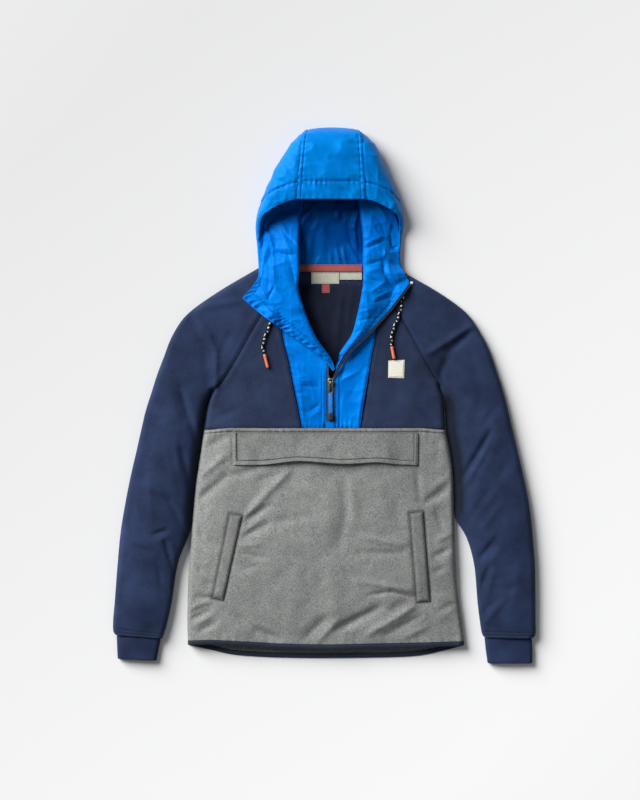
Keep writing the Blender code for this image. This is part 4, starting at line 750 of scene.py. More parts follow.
def creases(x, y, table, tapered=True, sharp=False):
    """Sum of the ridges and troughs of a table of creases, soft or with a sharp line along each."""
    total = np.zeros(np.shape(x))
    for x0, y0, x1, y1, height, width in table:
        near = ((x > min(x0, x1) - 3 * width) & (x < max(x0, x1) + 3 * width)
                & (y > min(y0, y1) - 3 * width) & (y < max(y0, y1) + 3 * width))
        if not near.any():
            continue
        px, py = x[near] - x0, y[near] - y0
        dx, dy = x1 - x0, y1 - y0
        t = np.clip((px * dx + py * dy) / (dx * dx + dy * dy), 0, 1)
        away = np.hypot(px - dx * t, py - dy * t)
        shape = np.exp(-away / width) if sharp else beside(away, width)
        if tapered:
            shape *= 0.35 + 0.65 * np.sin(math.pi * (0.08 + 0.84 * t))
        total[near] += height * shape
    return total


def edge_distance(x, y, limb):
    """Distance to the folded edges round a point, blended softly where two are near."""
    return near_lines(x, y, FOLDED_EDGES[limb])


def plain_top(x, y, d, limb):
    """Height of the upper cloth without creases."""
    body = 1 - ramp(np.abs(x - MIDDLE_X), 180, 300)
    crown = SLEEVE_CROWN + (BODY_CROWN - SLEEVE_CROWN) * body
    low = ramp(y, HEM_Y - 10, HEM_Y + HEM_FALL) if limb == "body" else ramp(y, -465, -420)
    crown = crown * (FRONT_HEM_CROWN + (1 - FRONT_HEM_CROWN) * low)
    spread = BODY_SPREAD * (1 + 0.7 * ramp(x, 60, 160)) if limb == "body" else BODY_SPREAD
    return FRONT_Z + quarter(1.6 * d, EDGE_ROUND) + crown * (1 - np.exp(-d / spread))


def seam_lines():
    """Lines of the seams that pull the front down: line, depth, half width."""
    return [(RAGLANS["left"], 1.2, 2.4), (RAGLANS["right"], 0.8, 2.4),
            (PLACKETS["left"], 0.8, 1.8), (PLACKETS["right"], 0.8, 1.8), (CHEST_LINE, 1.3, 2.4)]


def beside_body(x, y):
    """1 on a sleeve's inner side where it lies against the body, 0 elsewhere."""
    left = np.asarray(x) < MIDDLE_X
    away = np.where(left, distance(x, y, SIDES["left"]), distance(x, y, SIDES["right"]))
    above = np.where(left, ramp(y, -340, -220), ramp(y, -265, -190))
    reach = np.where(left, FLANK["left"], FLANK["right"])
    return beside(away, reach) * above * (1 - ramp(y, -30, 25))


def front(x, y, limb="body", seams=True):
    """Height of the upper cloth with its folds, creases and seams."""
    x, y = np.asarray(x, float), np.asarray(y, float)
    d = edge_distance(x, y, limb)
    fade = 1 - beside(d, 7)
    grey = 1 - ramp(y, CHEST_Y - 4, CHEST_Y + 4) if limb == "body" else np.zeros(x.shape)
    uneven = (soft_noise(x, y, 85, 1) * 4.0 + soft_noise(x, y, 42, 2) * (1.6 + 1.6 * grey)
              + soft_noise(x, y, 20, 3) * (0.3 + 1.1 * grey))
    relief = 0.4 * creases(x, y, FOLDS, False) + (1 + 0.25 * grey) * creases(x, y, CREASES) + uneven
    height = plain_top(x, y, d, limb) + relief * fade
    if limb == "body":
        share_up = np.clip((y - HEM_Y) / (CHEST_Y - HEM_Y), 0, 1)
        height += BELLY * np.sin(np.clip(d / 220, 0, 1) * math.pi / 2) * np.sin(math.pi * share_up)
    else:
        air = np.sin(np.clip(d / 60, 0, 1) * math.pi / 2) * (1 - ramp(y, -70, 5))
        height += SLEEVE_AIR * air * ramp(y, -460, -400)
    plump = PLUMP if limb == "body" else 1.4 * PLUMP
    height += plump * (1 - beside(d, 5)) * np.exp(-d / 60)
    for outline in WELT_OUTLINES:
        height -= 1.5 * beside(distance(x, y, outline), 3.2)
    for edge in (FLAP_LEFT, FLAP_RIGHT):
        height -= 1.6 * beside(distance(x, y, edge), 3.0)
    if seams:
        for line, depth, width in seam_lines():
            away = distance(x, y, line)
            height -= depth * beside(away, width)
            height += 0.45 * depth * beside(away - 3.6 * width, 1.8 * width) * fade
    if limb == "sleeve":
        height -= 0.72 * beside_body(x, y) * (height - FRONT_Z)
    return height


def under(x, y, limb="body"):
    """Height of the lower cloth: flat on the table, curled up at the edge."""
    return BACK_Z - quarter(edge_distance(x, y, limb), BACK_Z)


def stitched(d, places, depth=0.55, width=0.75):
    """Grooves of stitch lines at the given distances from an edge: relief, and a mask for painted shade in
    them.
    """
    d = np.asarray(d, float)
    mark = sum(beside(d - place, width) for place in places)
    return -depth * mark, mark


def puckers(run, d, pitch, height, reach, seed):
    """Short gathers square to a seam, strongest beside it."""
    jitter = soft_noise(run, np.full_like(run, 7.0 * seed), 3.1 * pitch, seed) * 5.0
    strength = 1.5 * np.clip(soft_noise(run, np.full_like(run, 3.0), 2 * pitch, seed + 1) + 0.45, 0, 1)
    return (height * strength * np.cos(2 * math.pi * run / pitch + jitter)
            * np.exp(-np.abs(d) / reach))


# ---- shells -----------------------------------------------------------------------------------

def surface_normals(grid):
    """Normals of a grid of points, softened so that a wall's inner side stays smooth."""
    p = grid[..., :3]
    n = unit(np.cross(np.gradient(p, axis=1), np.gradient(p, axis=0)))
    padded = np.pad(n, ((1, 1), (1, 1), (0, 0)), mode="edge")
    return unit(padded[:-2, 1:-1] + padded[2:, 1:-1] + padded[1:-1, :-2] + padded[1:-1, 2:]
                + 2 * padded[1:-1, 1:-1])


def facing_up(grid, where=None):
    """Normals that point away from the wearer: up at the given row and column."""
    n = surface_normals(grid)
    i, j = where or (grid.shape[0] // 2, grid.shape[1] // 2)
    return -n if n[i, j, 2] < 0 else n


def facing_down(grid, where=None):
    """Normals that point down at the given row and column."""
    return -facing_up(grid, where)


def rim_loop(rows, columns):
    """Rows and columns of a grid's border points, in order."""
    return np.array([(0, j) for j in range(columns)] + [(i, columns - 1) for i in range(1, rows)]
                    + [(rows - 1, j) for j in range(columns - 2, -1, -1)]
                    + [(i, 0) for i in range(rows - 2, 0, -1)])


def shell(name, outer, normals, thickness, finish, rounded="", seam=None, replaces=(),
          rests_on=(), inner=None):
    """A closed cloth wall. Sides named in rounded (first, last row; start, end column) get a
    half-round rim, the others a square one. For a wall that rests on something, cloth_sheet
    works out the size its cloth was cut to."""
    rows, columns = outer.shape[:2]
    outer = outer[..., :3]
    thickness = np.broadcast_to(np.asarray(thickness, float), (rows, columns))[..., None]
    inner = outer - normals * thickness if inner is None else inner
    i, j = rim_loop(rows, columns).T
    out = np.zeros((len(i), 3))
    bulge = np.zeros(len(i))
    for side, on, near in (("first", i == 0, (1, 0)), ("last", i == rows - 1, (-1, 0)),
                           ("start", j == 0, (0, 1)), ("end", j == columns - 1, (0, -1))):
        step = outer[i[on], j[on]] - outer[i[on] + near[0], j[on] + near[1]]
        if side in rounded.split():
            out[on] += unit(step)
            bulge[on] = 1
    n = normals[i, j]
    out = unit(out - n * (out * n).sum(1, keepdims=True))
    a, b = outer[i, j], inner[i, j]
    radius = np.linalg.norm(a - b, axis=1, keepdims=True) / 2
    levels = [(a + b) / 2 + (a - b) / 2 * math.cos(t) + out * radius * math.sin(t) * bulge[:, None]
              for t in (math.pi / 4, math.pi / 2, 3 * math.pi / 4)]
    verts = np.vstack([outer.reshape(-1, 3), inner.reshape(-1, 3)] + levels)
    count, border = rows * columns, len(i)

    index = np.arange(count).reshape(rows, columns)
    quads = np.stack([index[:-1, :-1], index[:-1, 1:], index[1:, 1:], index[1:, :-1]], -1)
    quads = quads.reshape(-1, 4)
    ring = [index[i, j]] + [2 * count + k * border + np.arange(border) for k in range(3)]
    ring.append(index[i, j] + count)
    rim = [np.stack([np.roll(p, -1), p, q, np.roll(q, -1)], -1) for p, q in zip(ring, ring[1:])]
    faces = np.vstack([quads, quads[:, ::-1] + count] + rim)
    if volume(verts, faces) < 0:
        faces = faces[:, ::-1]

    u = run_of(outer[rows // 2])
    v = run_of(outer[:, columns // 2])
    flat = np.stack(np.meshgrid(u, v), -1) * MM
    # seam: the piece's painted shade, from 0 to 1
    shade = np.zeros((rows, columns)) if seam is None else np.clip(seam, 0, 1)
    per_point = [flat.reshape(-1, 2), flat.reshape(-1, 2)] + [flat[i, j]] * 3
    painted_shades = [shade.ravel(), shade.ravel()] + [shade[i, j]] * 3
    made = mesh_object(name, verts, faces.tolist(), finish)
    mesh = made.data
    mesh.set_sharp_from_angle(angle=math.radians(62))
    corners = np.zeros(len(mesh.loops), int)
    mesh.loops.foreach_get("vertex_index", corners)
    mesh.uv_layers.new(name="cloth").data.foreach_set("uv", np.vstack(per_point)[corners].ravel())
    # The attribute "seam" holds the painted shade that the materials darken by
    mesh.attributes.new("seam", "FLOAT", "POINT").data.foreach_set("value", np.concatenate(painted_shades))
    settle(made, GARMENT, replaces)
    if rests_on:
        cloth_sheet(outer)
    return made


def volume(verts, faces):
    """Volume inside a closed mesh of quads."""
    a, b, c, d = (verts[faces[:, k]] for k in range(4))
    return ((a * np.cross(b, c)).sum() + (a * np.cross(c, d)).sum()) / 6


def mesh_object(name, verts, faces, finish):
    """A smooth mesh of points in mm, in the scene."""
    mesh = bpy.data.meshes.new(name)
    mesh.from_pydata((verts * MM).tolist(), [], faces)
    mesh.shade_smooth()
    mesh.materials.append(finish)
    made = bpy.data.objects.new(name, mesh)
    bpy.context.collection.objects.link(made)
    return made


def settle(made, body, replaces):
    """Lets a piece ride on its body and stand for its solids, which it hides."""
    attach(made, body)
    if replaces:
        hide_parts(*replaces)


TRIMS = {}


def cloth_sheet(grid):
    """Works out the size a sheet was cut to, its grid laid out flat, and keeps none of it."""
    p = grid[..., :3] * MM
    width = max(run_of(row)[-1] for row in p)
    length = max(run_of(p[:, k])[-1] for k in range(p.shape[1]))
    a, b = p[1:, 1:] - p[:-1, :-1], p[1:, :-1] - p[:-1, 1:]
    area = np.linalg.norm(np.cross(a, b), axis=2).sum() / 2
    area = max(min(area, width * length), 0.31 * width * length)


def sewn_to(made, panel):
    """Notes a narrow trim as a piece on the panel it is sewn to."""
    TRIMS.setdefault(panel, []).append(made)


# ---- stitches ---------------------------------------------------------------------------------

THREADS = {}


def spindles(name, centres, axis, wide, high, ends, sides, finish):
    """A small bar at each centre along its axis, as one joined mesh. The ends give the place
    along the axis and the share of the width of each of a bar's four rings of points."""
    angles = np.linspace(0, 2 * math.pi, sides + 1)[:-1]
    points = np.stack([centres + axis * along + (wide * math.cos(t) + high * math.sin(t)) * size
                       for along, size in ends for t in angles], 1)
    base = np.arange(len(centres))[:, None] * points.shape[1]
    quads = [base + np.array([r * sides + k, r * sides + (k + 1) % sides,
                              (r + 1) * sides + (k + 1) % sides, (r + 1) * sides + k])
             for r in range(3) for k in range(sides)]
    caps = [base + np.arange(sides)[::-1], base + np.arange(sides) + 3 * sides]
    made = mesh_object(name, points.reshape(-1, 3),
                       np.vstack(quads).tolist() + np.vstack(caps).tolist(), finish)
    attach(made, GARMENT)


def stitch_line(finish, line, normals):
    """Puts stitches along a 3-D line, to be made in one mesh for each thread."""
    run = run_of(line)
    count = int(run[-1] / STITCH_PITCH)
    if count < 2:
        return
    middles = (np.arange(count) + 0.5) * run[-1] / count
    ahead = sampled(middles + 0.8, run, line) - sampled(middles - 0.8, run, line)
    THREADS.setdefault(finish.name, []).append(
        (sampled(middles, run, line), ahead, sampled(middles, run, normals)))


def sew_threads():
    """All stitches of one thread as one joined mesh of small spindles."""
    for name, parts in THREADS.items():
        centres, ahead, up = (np.vstack([p[k] for p in parts]) for k in range(3))
        ahead = unit(ahead)
        side = unit(np.cross(ahead, up))
        spindles(name.replace(" ", "_"), centres, ahead * STITCH_LENGTH,
                 side * 1.15 * STITCH_RADIUS, np.cross(side, ahead) * 0.85 * STITCH_RADIUS,
                 ((-0.5, 0.15), (-0.28, 1.0), (0.28, 1.0), (0.5, 0.15)), 5,
                 bpy.data.materials[name])


def teeth(name, centres, ahead, up, wide):
    """Rounded coil loops across a zip, one for each centre."""
    spindles(name, centres, np.cross(ahead, up) * wide, ahead * 0.72, up * -0.6,
             ((-0.5, 0.35), (-0.38, 1), (0.38, 1), (0.5, 0.35)), 6, TEETH)


def on_front(line, lift=0.0, limb="body"):
    """A plan line laid on the front, and its normals."""
    z = front(line[:, 0], line[:, 1], limb)
    up = np.tile((0.0, 0.0, 1.0), (len(line), 1))
    return np.column_stack([line[:, :2], z + lift]), up


# ---- body -------------------------------------------------------------------------------------

def coons(left, right, starts, ends, feet, heads, step, bottom=None, top=None):
    """Plan points of a four-sided panel, with their distance from its four edges. The bottom and
    the top are straight where no line is given."""
    bottom = np.array([left[0], right[0]]) if bottom is None else bottom
    top = np.array([left[-1], right[-1]]) if top is None else top
    height = run_of(left, 2)[-1] / 2 + run_of(right, 2)[-1] / 2
    up = spaced(height, feet, heads, step)[0]
    v = up / height
    left_at, right_at = at(left, v), at(right, v)
    widths = np.linalg.norm(right_at - left_at, axis=1)
    over = spaced(widths, starts, ends, step)
    u, v = (over / widths[:, None])[..., None], v[:, None, None]
    grid = ((1 - u) * left_at[:, None] + u * right_at[:, None]
            + (1 - v) * at(bottom, u[..., 0]) + v * at(top, u[..., 0]))
    corner = ((1 - u) * ((1 - v) * left[0] + v * left[-1])
              + u * ((1 - v) * right[0] + v * right[-1]))
    from_edges = {"left": over, "right": widths[:, None] - over,
                  "bottom": np.broadcast_to(up[:, None], over.shape),
                  "top": np.broadcast_to((height - up)[:, None], over.shape)}
    return grid - corner, from_edges


def upright(normals, columns, rows=slice(None)):
    """Turns the rims of folded side seams upright, so that front and back meet edge to edge."""
    for j, sign in columns:
        normals[rows, j] = (sign, 0, 0)


def lower_front():
    """The grey front from the hem to the seam across the chest."""
    left, right = (split(SIDES[side], CHEST_Y)[0] for side in ("left", "right"))
    edge = [0, 0.5, 1.2, 2.2, 3.6, 5.4, 7.6]
    plan, d = coons(left, right, edge, edge, [0.4, 1.2, 2.4, 4], rings(FLEECE / 2, (6.6,)), 2.9,
                    smooth(FRONT_HEM))
    groove, shade = stitched(d["top"], (7.6,), 0.9, 0.9)
    z = front(plan[..., 0], plan[..., 1]) + groove
    lap = ramp(np.minimum(d["left"], d["right"]), 0, 50)
    plan[..., 1] += SEAM_LAP * lap * beside(d["top"], 30)
    z += SEAM_LAP * lap * np.exp(-d["top"] / 5)
    z += 0.8 * np.sin(math.pi * np.clip(d["top"] / 7.6, 0, 1))
    z += puckers(plan[..., 0], d["top"] - 7.6, 13, 0.5, 7, 11)
    z += puckers(plan[..., 0], d["bottom"], 17, 0.5, 10, 12)
    z[:, 0] = z[:, -1] = FRONT_Z
    grid = np.dstack([plan, z])
    normals = facing_up(grid)
    upright(normals, ((0, -1), (-1, 1)))
    # Painted shade: in the stitch groove, along the chest seam and in a dark line round each welt
    dark = np.maximum(shade * 0.7, 0.8 * beside(d["top"], 1.4))
    for outline in WELT_OUTLINES:
        away = distance(plan[..., 0], plan[..., 1], outline)
        dark = np.maximum(dark, 0.85 * beside(away, 2.6))
    shell("lower_front", grid, normals, FLEECE, MARL, "first last", dark,
          replaces=("front_lower",), rests_on=("lower_back",))
    row = np.abs(d["top"][:, 80] - 7.6).argmin()
    stitch_line(GREY_THREAD, grid[row, 3:-3], normals[row, 3:-3])


def lower_back():
    """The grey back, flat on the table."""
    left, right = (split(SIDES[side], CHEST_Y)[0] for side in ("left", "right"))
    edge = [0, 0.6, 1.6, 3, 5, 8]
    plan, d = coons(left, right, edge, edge, [0.4, 2, 5], [FLEECE / 2, 2, 5], 6.5,
                    smooth(BACK_HEM))
    z = under(plan[..., 0], plan[..., 1])
    z[:, 0] = z[:, -1] = BACK_Z
    grid = np.dstack([plan, z])
    normals = facing_down(grid)
    upright(normals, ((0, -1), (-1, 1)))
    # Painted shade: the whole back is drawn a little darker, and darker still along its top edge
    shell("lower_back", grid, normals, FLEECE, MARL, "last", 0.3 + 0.5 * beside(d["top"], 3),
          replaces=("back_lower",), rests_on=("table",))


def seam_side(side, inset):
    """Points up the side seam from the chest seam, then up the raglan seam, moved inwards."""
    below = at(split(SIDES[side], CHEST_Y)[1], np.linspace(0, 1, 13))[:-1]
    raglan = offset(RAGLANS[side], inset if side == "right" else -inset)
    return np.vstack([below, raglan])


def placket_seam(side, shift):
    """Points up the seam between the upper front and the placket, moved along X."""
    return PLACKETS[side] + (shift, 0)


def upper_fronts():
    """The navy panels between the raglan seams and the placket."""
    for side, sign in BOTH:
        outer_edge, inner_edge = seam_side(side, -CLOSED), placket_seam(side, sign * GAP / 2)
        for edge in (outer_edge, inner_edge):
            edge[0, 1] += GAP
        rims = [rings(FLEECE / 2, (TWIN - FLEECE / 2,)), rings(FLEECE / 2, (2.0,))]
        plan, d = coons(*[outer_edge, inner_edge][::-sign], *rims[::-sign],
                        [FLEECE / 2, 1.8, 3], [FLEECE / 2, 2], 2.7)
        from_raglan, from_placket = [d["left"], d["right"]][::-sign]
        outer_column = 0 if side == "left" else -1
        above = ramp(plan[..., 1], 0, 24)
        groove, shade = stitched(from_raglan, (TWIN,), 0.5, 0.7)
        groove2, shade2 = stitched(from_placket, (3.0,), 0.4, 0.7)
        z = front(plan[..., 0], plan[..., 1]) + groove * above + groove2
        z += puckers(plan[..., 1], from_raglan, 15, 0.35, 8, 21 + sign)
        grid = np.dstack([plan, z])
        rows = plan[:, outer_column, 1] < 6
        grid[rows, outer_column, 2] = FRONT_Z
        normals = facing_up(grid)
        upright(normals, ((outer_column, sign),), rows)
        # Painted shade in the stitch grooves and along the raglan, placket and chest seams
        strong = 0.6 if side == "left" else 0.4
        dark = np.maximum.reduce([0.6 * strong * shade * above, 0.4 * shade2,
                                  strong * beside(from_raglan - FLEECE / 2, 1.2) * above,
                                  0.6 * beside(from_placket, 1.6), beside(d["bottom"], 1.6)])
        shell(f"upper_front_{side}", grid, normals, FLEECE, NAVY, "start end first last", dark,
              replaces=(f"front_upper_{side}",), rests_on=("upper_back",))
        stitch_line(NAVY_THREAD, *on_front(offset(RAGLANS[side][4:-2], sign * TWIN), -0.15))
        stitch_line(NAVY_THREAD, *on_front(offset(PLACKETS[side][:34], sign * 3.0), -0.1))


def upper_back():
    """The navy back up to the neck; its inside shows in the open neck."""
    edges = {side: seam_side(side, GAP / 2) for side in ("left", "right")}
    for line in edges.values():
        line[0, 1] += GAP
    neck = smooth([edges["left"][-1], BACK_NECK, edges["right"][-1]])
    edge = [FLEECE / 2, 2, 4, 7]
    plan, d = coons(edges["left"], edges["right"], edge, edge, edge[:3], edge[:3], 4.2, top=neck)
    x, y = plan[..., 0], plan[..., 1]
    grid = np.dstack([plan, under(x, y)])
    normals = facing_down(grid)
    # The inside shows in the neck: soft folds that run down from the neck tape
    inside = grid - normals * FLEECE
    shown = ramp(y, 0, 60) * (1 - ramp(np.abs(x - 20), 60, 110)) * (1 - ramp(y, 205, 222))
    inside[..., 2] += shown * (1.0 + soft_noise(x, y, 46, 31) * 2.0 + creases(x, y, BACK_FOLDS))
    # Painted shade along the side and raglan seams, and all over the inside where it shows in the neck
    dark = np.maximum(0.8 * beside(np.minimum(d["left"], d["right"]), 3), shown)
    shell("upper_back", grid, normals, FLEECE, NAVY, "start end first last", dark,
          replaces=("back_upper",), rests_on=("table",), inner=inside)


def hem_bindings():
    """The stretch bands round the hem, front and back."""
    for name, hem, height, up, node in (
            ("hem_band_front", FRONT_HEM, front, True, "hem_binding_front"),
            ("hem_band_back", BACK_HEM, under, False, "hem_binding_back")):
        shares = np.concatenate([[0.0006, 0.002, 0.005], np.linspace(0.01, 0.99, 150),
                                 [0.995, 0.998, 0.9994]])
        upper = at(smooth(hem), shares) - (0, GAP)
        places = [0.0, 0.8, 2.2, 4, 5.6, 6.4, 7.2, HEM_BAND]
        plan = np.array([upper - (0, HEM_BAND - p) for p in places])
        z = height(plan[..., 0], plan[..., 1])
        swell = 0.7 * np.sin(math.pi * np.array(places) / HEM_BAND)[:, None]
        groove, shade = stitched(np.array(places)[:, None] + 0 * z, (6.4,), 0.5, 0.6)
        ripple = puckers(plan[..., 0], 0 * z, 5.2, 0.16, 10, 41)
        if up:
            z = z + swell + groove + ripple
        grid = np.dstack([plan, z])
        normals = facing_up(grid) if up else facing_down(grid)
        upright(normals, ((0, -1), (-1, 1)))
        # Painted shade in the stitch groove
        made = shell(name, grid, normals, BINDING, BOUND, "first", 0.6 * shade, replaces=(node,))
        sewn_to(made, "lower_front" if up else "lower_back")
        if up:
            line = upper[4:-4] - (0, 1.6)
            stitch_line(NAVY_THREAD, *on_front(line, 0.35))


# ---- sleeves and cuffs ------------------------------------------------------------------------

def tube(pairs, over, below, starts, ends, step, first, last):
    """A flattened tube: over the top from the inner line, round the fold and back under."""
    middle = (pairs[:, :2] + pairs[:, 2:]) / 2
    run = run_of(middle, 2)
    places = spaced(run[-1], first, last, step)[0]
    pairs = sampled(places, run, pairs)
    inner, outer = pairs[:, :2], pairs[:, 2:]
    widths = np.linalg.norm(outer - inner, axis=1)
    half = spaced(widths, starts, ends, step)
    share = (half / widths[:, None])[..., None]
    plan = inner[:, None] * (1 - share) + outer[:, None] * share
    upper = np.dstack([plan, over(plan[..., 0], plan[..., 1])])
    lower = np.dstack([plan, below(plan[..., 0], plan[..., 1])])[:, ::-1]
    fold = np.column_stack([outer, np.full(len(outer), SEAM_Z)])[:, None]
    grid = np.concatenate([upper, fold, lower], axis=1)
    return grid, places, run[-1] - places, half


def sleeves():
    """Each sleeve as one flattened tube from its hem to the raglan seam."""
    for side in ("left", "right"):
        sign = 1 if side == "left" else -1
        table = SLEEVES[side]
        armpit = ARMPIT[side] * 8
        raglan = offset(RAGLANS[side], -sign * CLOSED)
        pairs = np.vstack([table[:armpit - 5], np.hstack([raglan, table[armpit:, 2:]])])
        inner_rim = [FLEECE / 2 + p for p in (0, 0.7, 1.2, 1.8, TWIN - 0.6, TWIN, TWIN + 0.6,
                                              TWIN + 1.4)]
        grid, up, _, half = tube(
            pairs, lambda x, y: front(x, y, "sleeve"), lambda x, y: under(x, y, "sleeve"),
            inner_rim, [0.25, 0.8, 1.8, 3.2, 5, 7.2], 3.0,
            [FLEECE / 2, 1.6, 2.4, 4.6, 5.2, 5.8, 6.4, 7, 10.2, 10.8, 11.4, 12, 12.6], [1, 3])
        columns = half.shape[1]
        below = grid[:, :columns, 1].mean(1) < ARMPIT_Y[side]
        grid[below, 0, 2], grid[below, -1, 2] = FRONT_Z, BACK_Z
        grid[..., 2] = np.maximum(grid[..., 2], 0)
        groove, shade = stitched(up, SLEEVE_HEM, 0.7, 0.75)
        seam_groove, seam_mark = stitched(half, (TWIN + FLEECE / 2,), 0.5, 0.7)
        above = (~below)[:, None]
        grid[:, :columns, 2] += groove[:, None] + seam_groove * above
        run = np.broadcast_to(np.arange(columns)[None] * 3.0, half.shape)
        from_hem = np.broadcast_to(up[:, None], half.shape)
        grid[:, 6:columns - 6, 2] += puckers(run, from_hem, 9, 0.5, 9, 51)[:, 6:-6]
        normals = facing_up(grid, (len(grid) // 2, columns // 2))
        normals[below, 0] = normals[below, -1] = (sign, 0, 0)
        # Painted shade: in the stitch grooves, along the hem's edge and the raglan seam, and on the inner
        # side that lies in the body's shadow
        dark = np.zeros(grid.shape[:2])
        dark[:, :] = (0.6 * shade + 0.75 * beside(up, 1.8))[:, None]
        dark[:, :columns] = np.maximum(dark[:, :columns], 0.55 * seam_mark * above)
        dark[:, :2] = np.maximum(dark[:, :2], 0.6 * above)
        flank = beside_body(grid[:, :columns, 0], grid[:, :columns, 1])
        dark[:, :columns] = np.maximum(dark[:, :columns], (1.2 if side == "left" else 2.2) * flank)
        shell(f"fleece_sleeve_{side}", grid, normals, FLEECE, SHADED_SLEEVE_NAVY, "first last", dark,
              replaces=(f"sleeve_{side}",), rests_on=("table",))
        stitch_line(NAVY_THREAD, *on_front(offset(RAGLANS[side][4:-2], sign * TWIN), -0.15))
        for place in SLEEVE_HEM:
            row = np.abs(up - place).argmin()
            stitch_line(NAVY_THREAD, grid[row, 2:columns - 1], normals[row, 2:columns - 1])


def cuffs():
    """The ribbed cuffs inside the sleeves' ends."""
    for side, table in (("left", CUFF_LEFT), ("right", CUFF_RIGHT)):
        pairs = smooth(table, 8)
        folds = [pairs[:, :2], pairs[:, 2:]]

        def over(x, y):
            d = near_lines(x, y, folds)
            soft = soft_noise(x, y, 24, 61) * 1.4 * (1 - beside(d, 9))
            return FRONT_Z + quarter(d, EDGE_ROUND) + CUFF_CROWN * (1 - np.exp(-d / 25)) + soft

        def below(x, y):
            return BACK_Z - quarter(near_lines(x, y, folds), BACK_Z)

        grid, _, down, half = tube(pairs, over, below, [0, 0.6, 1.4, 2.6, 4],
                                    [0.25, 0.8, 1.8, 3.2, 5], 2.0,
                                    [FLEECE / 2, 1.6, 2.6], [FLEECE / 2, 1.6, 2.6])
        columns = half.shape[1]
        grid[:, 0, 2], grid[:, -1, 2] = FRONT_Z, BACK_Z
        rib = 0.22 * np.cos(2 * math.pi * half / 3.2) * ramp(half, 2, 6)
        grid[:, :columns, 2] += rib
        normals = facing_up(grid, (len(grid) // 2, columns // 2))
        normals[:, 0] = normals[:, -1] = (1 if side == "left" else -1, 0, 0)
        # Painted shade along the cuff's open end
        dark = np.broadcast_to(0.9 * beside(down, 2.2)[:, None], grid.shape[:2])
        shell(f"fleece_cuff_{side}", grid, normals, FLEECE, CUFF, "first last", dark,
              replaces=(f"cuff_{side}",), rests_on=("table",))


# ---- placket, zip and trims -------------------------------------------------------------------

def plackets():
    """The blue panels on both sides of the zip."""
    for side, sign in BOTH:
        neck = []
        for edge_x, edge_y, roll_x, roll_y, *_ in FACINGS[side][1:6]:
            out = unit(np.array([edge_x - roll_x, edge_y - roll_y]))
            neck.append(np.array([roll_x, roll_y]) + out * NECK_INSET)
        zip_x = MIDDLE_X + sign * ZIP_HALF
        foot = [(zip_x, CHEST_Y + GAP), (zip_x, -10.0), (zip_x, ZIP_TOP - 12), (zip_x, ZIP_TOP)]
        inner = smooth(foot + neck + [np.array([neck[-1][0] - 2 * sign, NECK_Y[side]])])
        seam = placket_seam(side, -sign * GAP / 2)
        seam[0, 1] += GAP
        r = NYLON / 2
        rims = [rings(r, (2.2,), 0.5), rings(r, (1.4, 8.0), 0.5)]
        plan, d = coons(*[seam, inner][::-sign], *rims[::-sign], [r, 2, 3.4], [r, 3], 2.1)
        x, y = plan[..., 0], plan[..., 1]
        from_seam, from_zip = [d["left"], d["right"]][::-sign]
        below_v = 1 - ramp(y, ZIP_TOP - 4, ZIP_TOP + 14)
        strip, strip_mark = stitched(from_zip, (r + 1.4, r + 8.0), 0.7, 0.7)
        edge, edge_mark = stitched(from_seam, (r + 2.2,), 0.5, 0.7)
        z = front(x, y) + strip * below_v + edge
        z += 0.7 * beside(from_zip - r - 4.7, 2.6) * below_v
        z += puckers(y, from_seam - r, 12, 0.35, 7, 71 + sign)
        z += puckers(x, d["bottom"] - 3, 8, 1.7, 10, 73 + sign) * ramp(d["bottom"], 0, 4)
        z += (creases(x, y, PLACKET_CREASES, sharp=True) + soft_noise(x, y, 30, 79) * 2.4
              + (crumple(x, y + 0.3 * x, 24, 77) - 0.4) * 1.0) * ramp(from_zip, r + 8, r + 14)
        grid = np.dstack([plan, z])
        normals = facing_up(grid)
        # Painted shade in the stitch grooves, along the seam to the front and along the bottom edge
        dark = np.maximum.reduce([strip_mark * below_v * 0.9, edge_mark * 0.7,
                                  beside(from_seam - r, 1.2), beside(d["bottom"] - r, 1.6)])
        shell(f"placket_{side}_panel", grid, normals, NYLON, SHELL, "start end first last", dark,
              replaces=(f"placket_{side}",), rests_on=("upper_back",))
        for place in (r + 1.4, r + 8.0):
            line = np.array([(zip_x + sign * place, v) for v in np.linspace(-60, ZIP_TOP - 2, 50)])
            stitch_line(BLUE_THREAD, *on_front(line, -0.3))


def zip_closed():
    """The closed part: two tapes with a coil of teeth down the middle. The left tape goes on
    beside the open neck."""
    for side, sign, top_y in (("left", -1, ZIP_TOP + 17), ("right", 1, ZIP_TOP - 8)):
        near, far = MIDDLE_X + sign * GAP / 2, MIDDLE_X + sign * (ZIP_HALF - 3 * GAP)
        rows = []
        for y in np.linspace(ZIP_BOTTOM, top_y, 56):
            spread = 1 - 0.55 * ramp(y, ZIP_TOP - 10, ZIP_TOP - 2)
            rows.append([(far + (near - far) * spread * share, y) for share in np.linspace(1, 0, 7)])
        plan = np.array(rows)[:, ::sign]
        z = front(plan[..., 0], plan[..., 1]) + 0.5 * beside(plan[..., 0] - MIDDLE_X, 2)
        grid = np.dstack([plan, z])
        made = shell(f"zip_tape_closed_{side}", grid, facing_up(grid), TAPE, ZIP_CLOTH,
                     replaces=(f"zip_tape_{side}",))
        sewn_to(made, f"placket_{side}_panel")
    places = np.arange(ZIP_GARAGE[0][1] + 1, SLIDER[1] - 8, TOOTH_PITCH)
    line = np.column_stack([np.full(len(places), MIDDLE_X), places])
    height = front(line[:, 0], line[:, 1]) + 1.1
    teeth("zip_coil_closed", np.column_stack([line, height]), np.array([0, 1, 0]),
          np.array([0, 0, 1]), 4.6)


def outwards(grid):
    """Level unit steps away from a sheet's last column, square to its edge."""
    run = np.gradient(grid[:, -1, :3], axis=0)
    out = np.stack([-run[:, 1], run[:, 0], np.zeros(len(run))], axis=1)
    out *= np.sign((out * (grid[:, -1, :3] - grid[:, -4, :3])).sum(axis=1, keepdims=True))
    return unit(out)


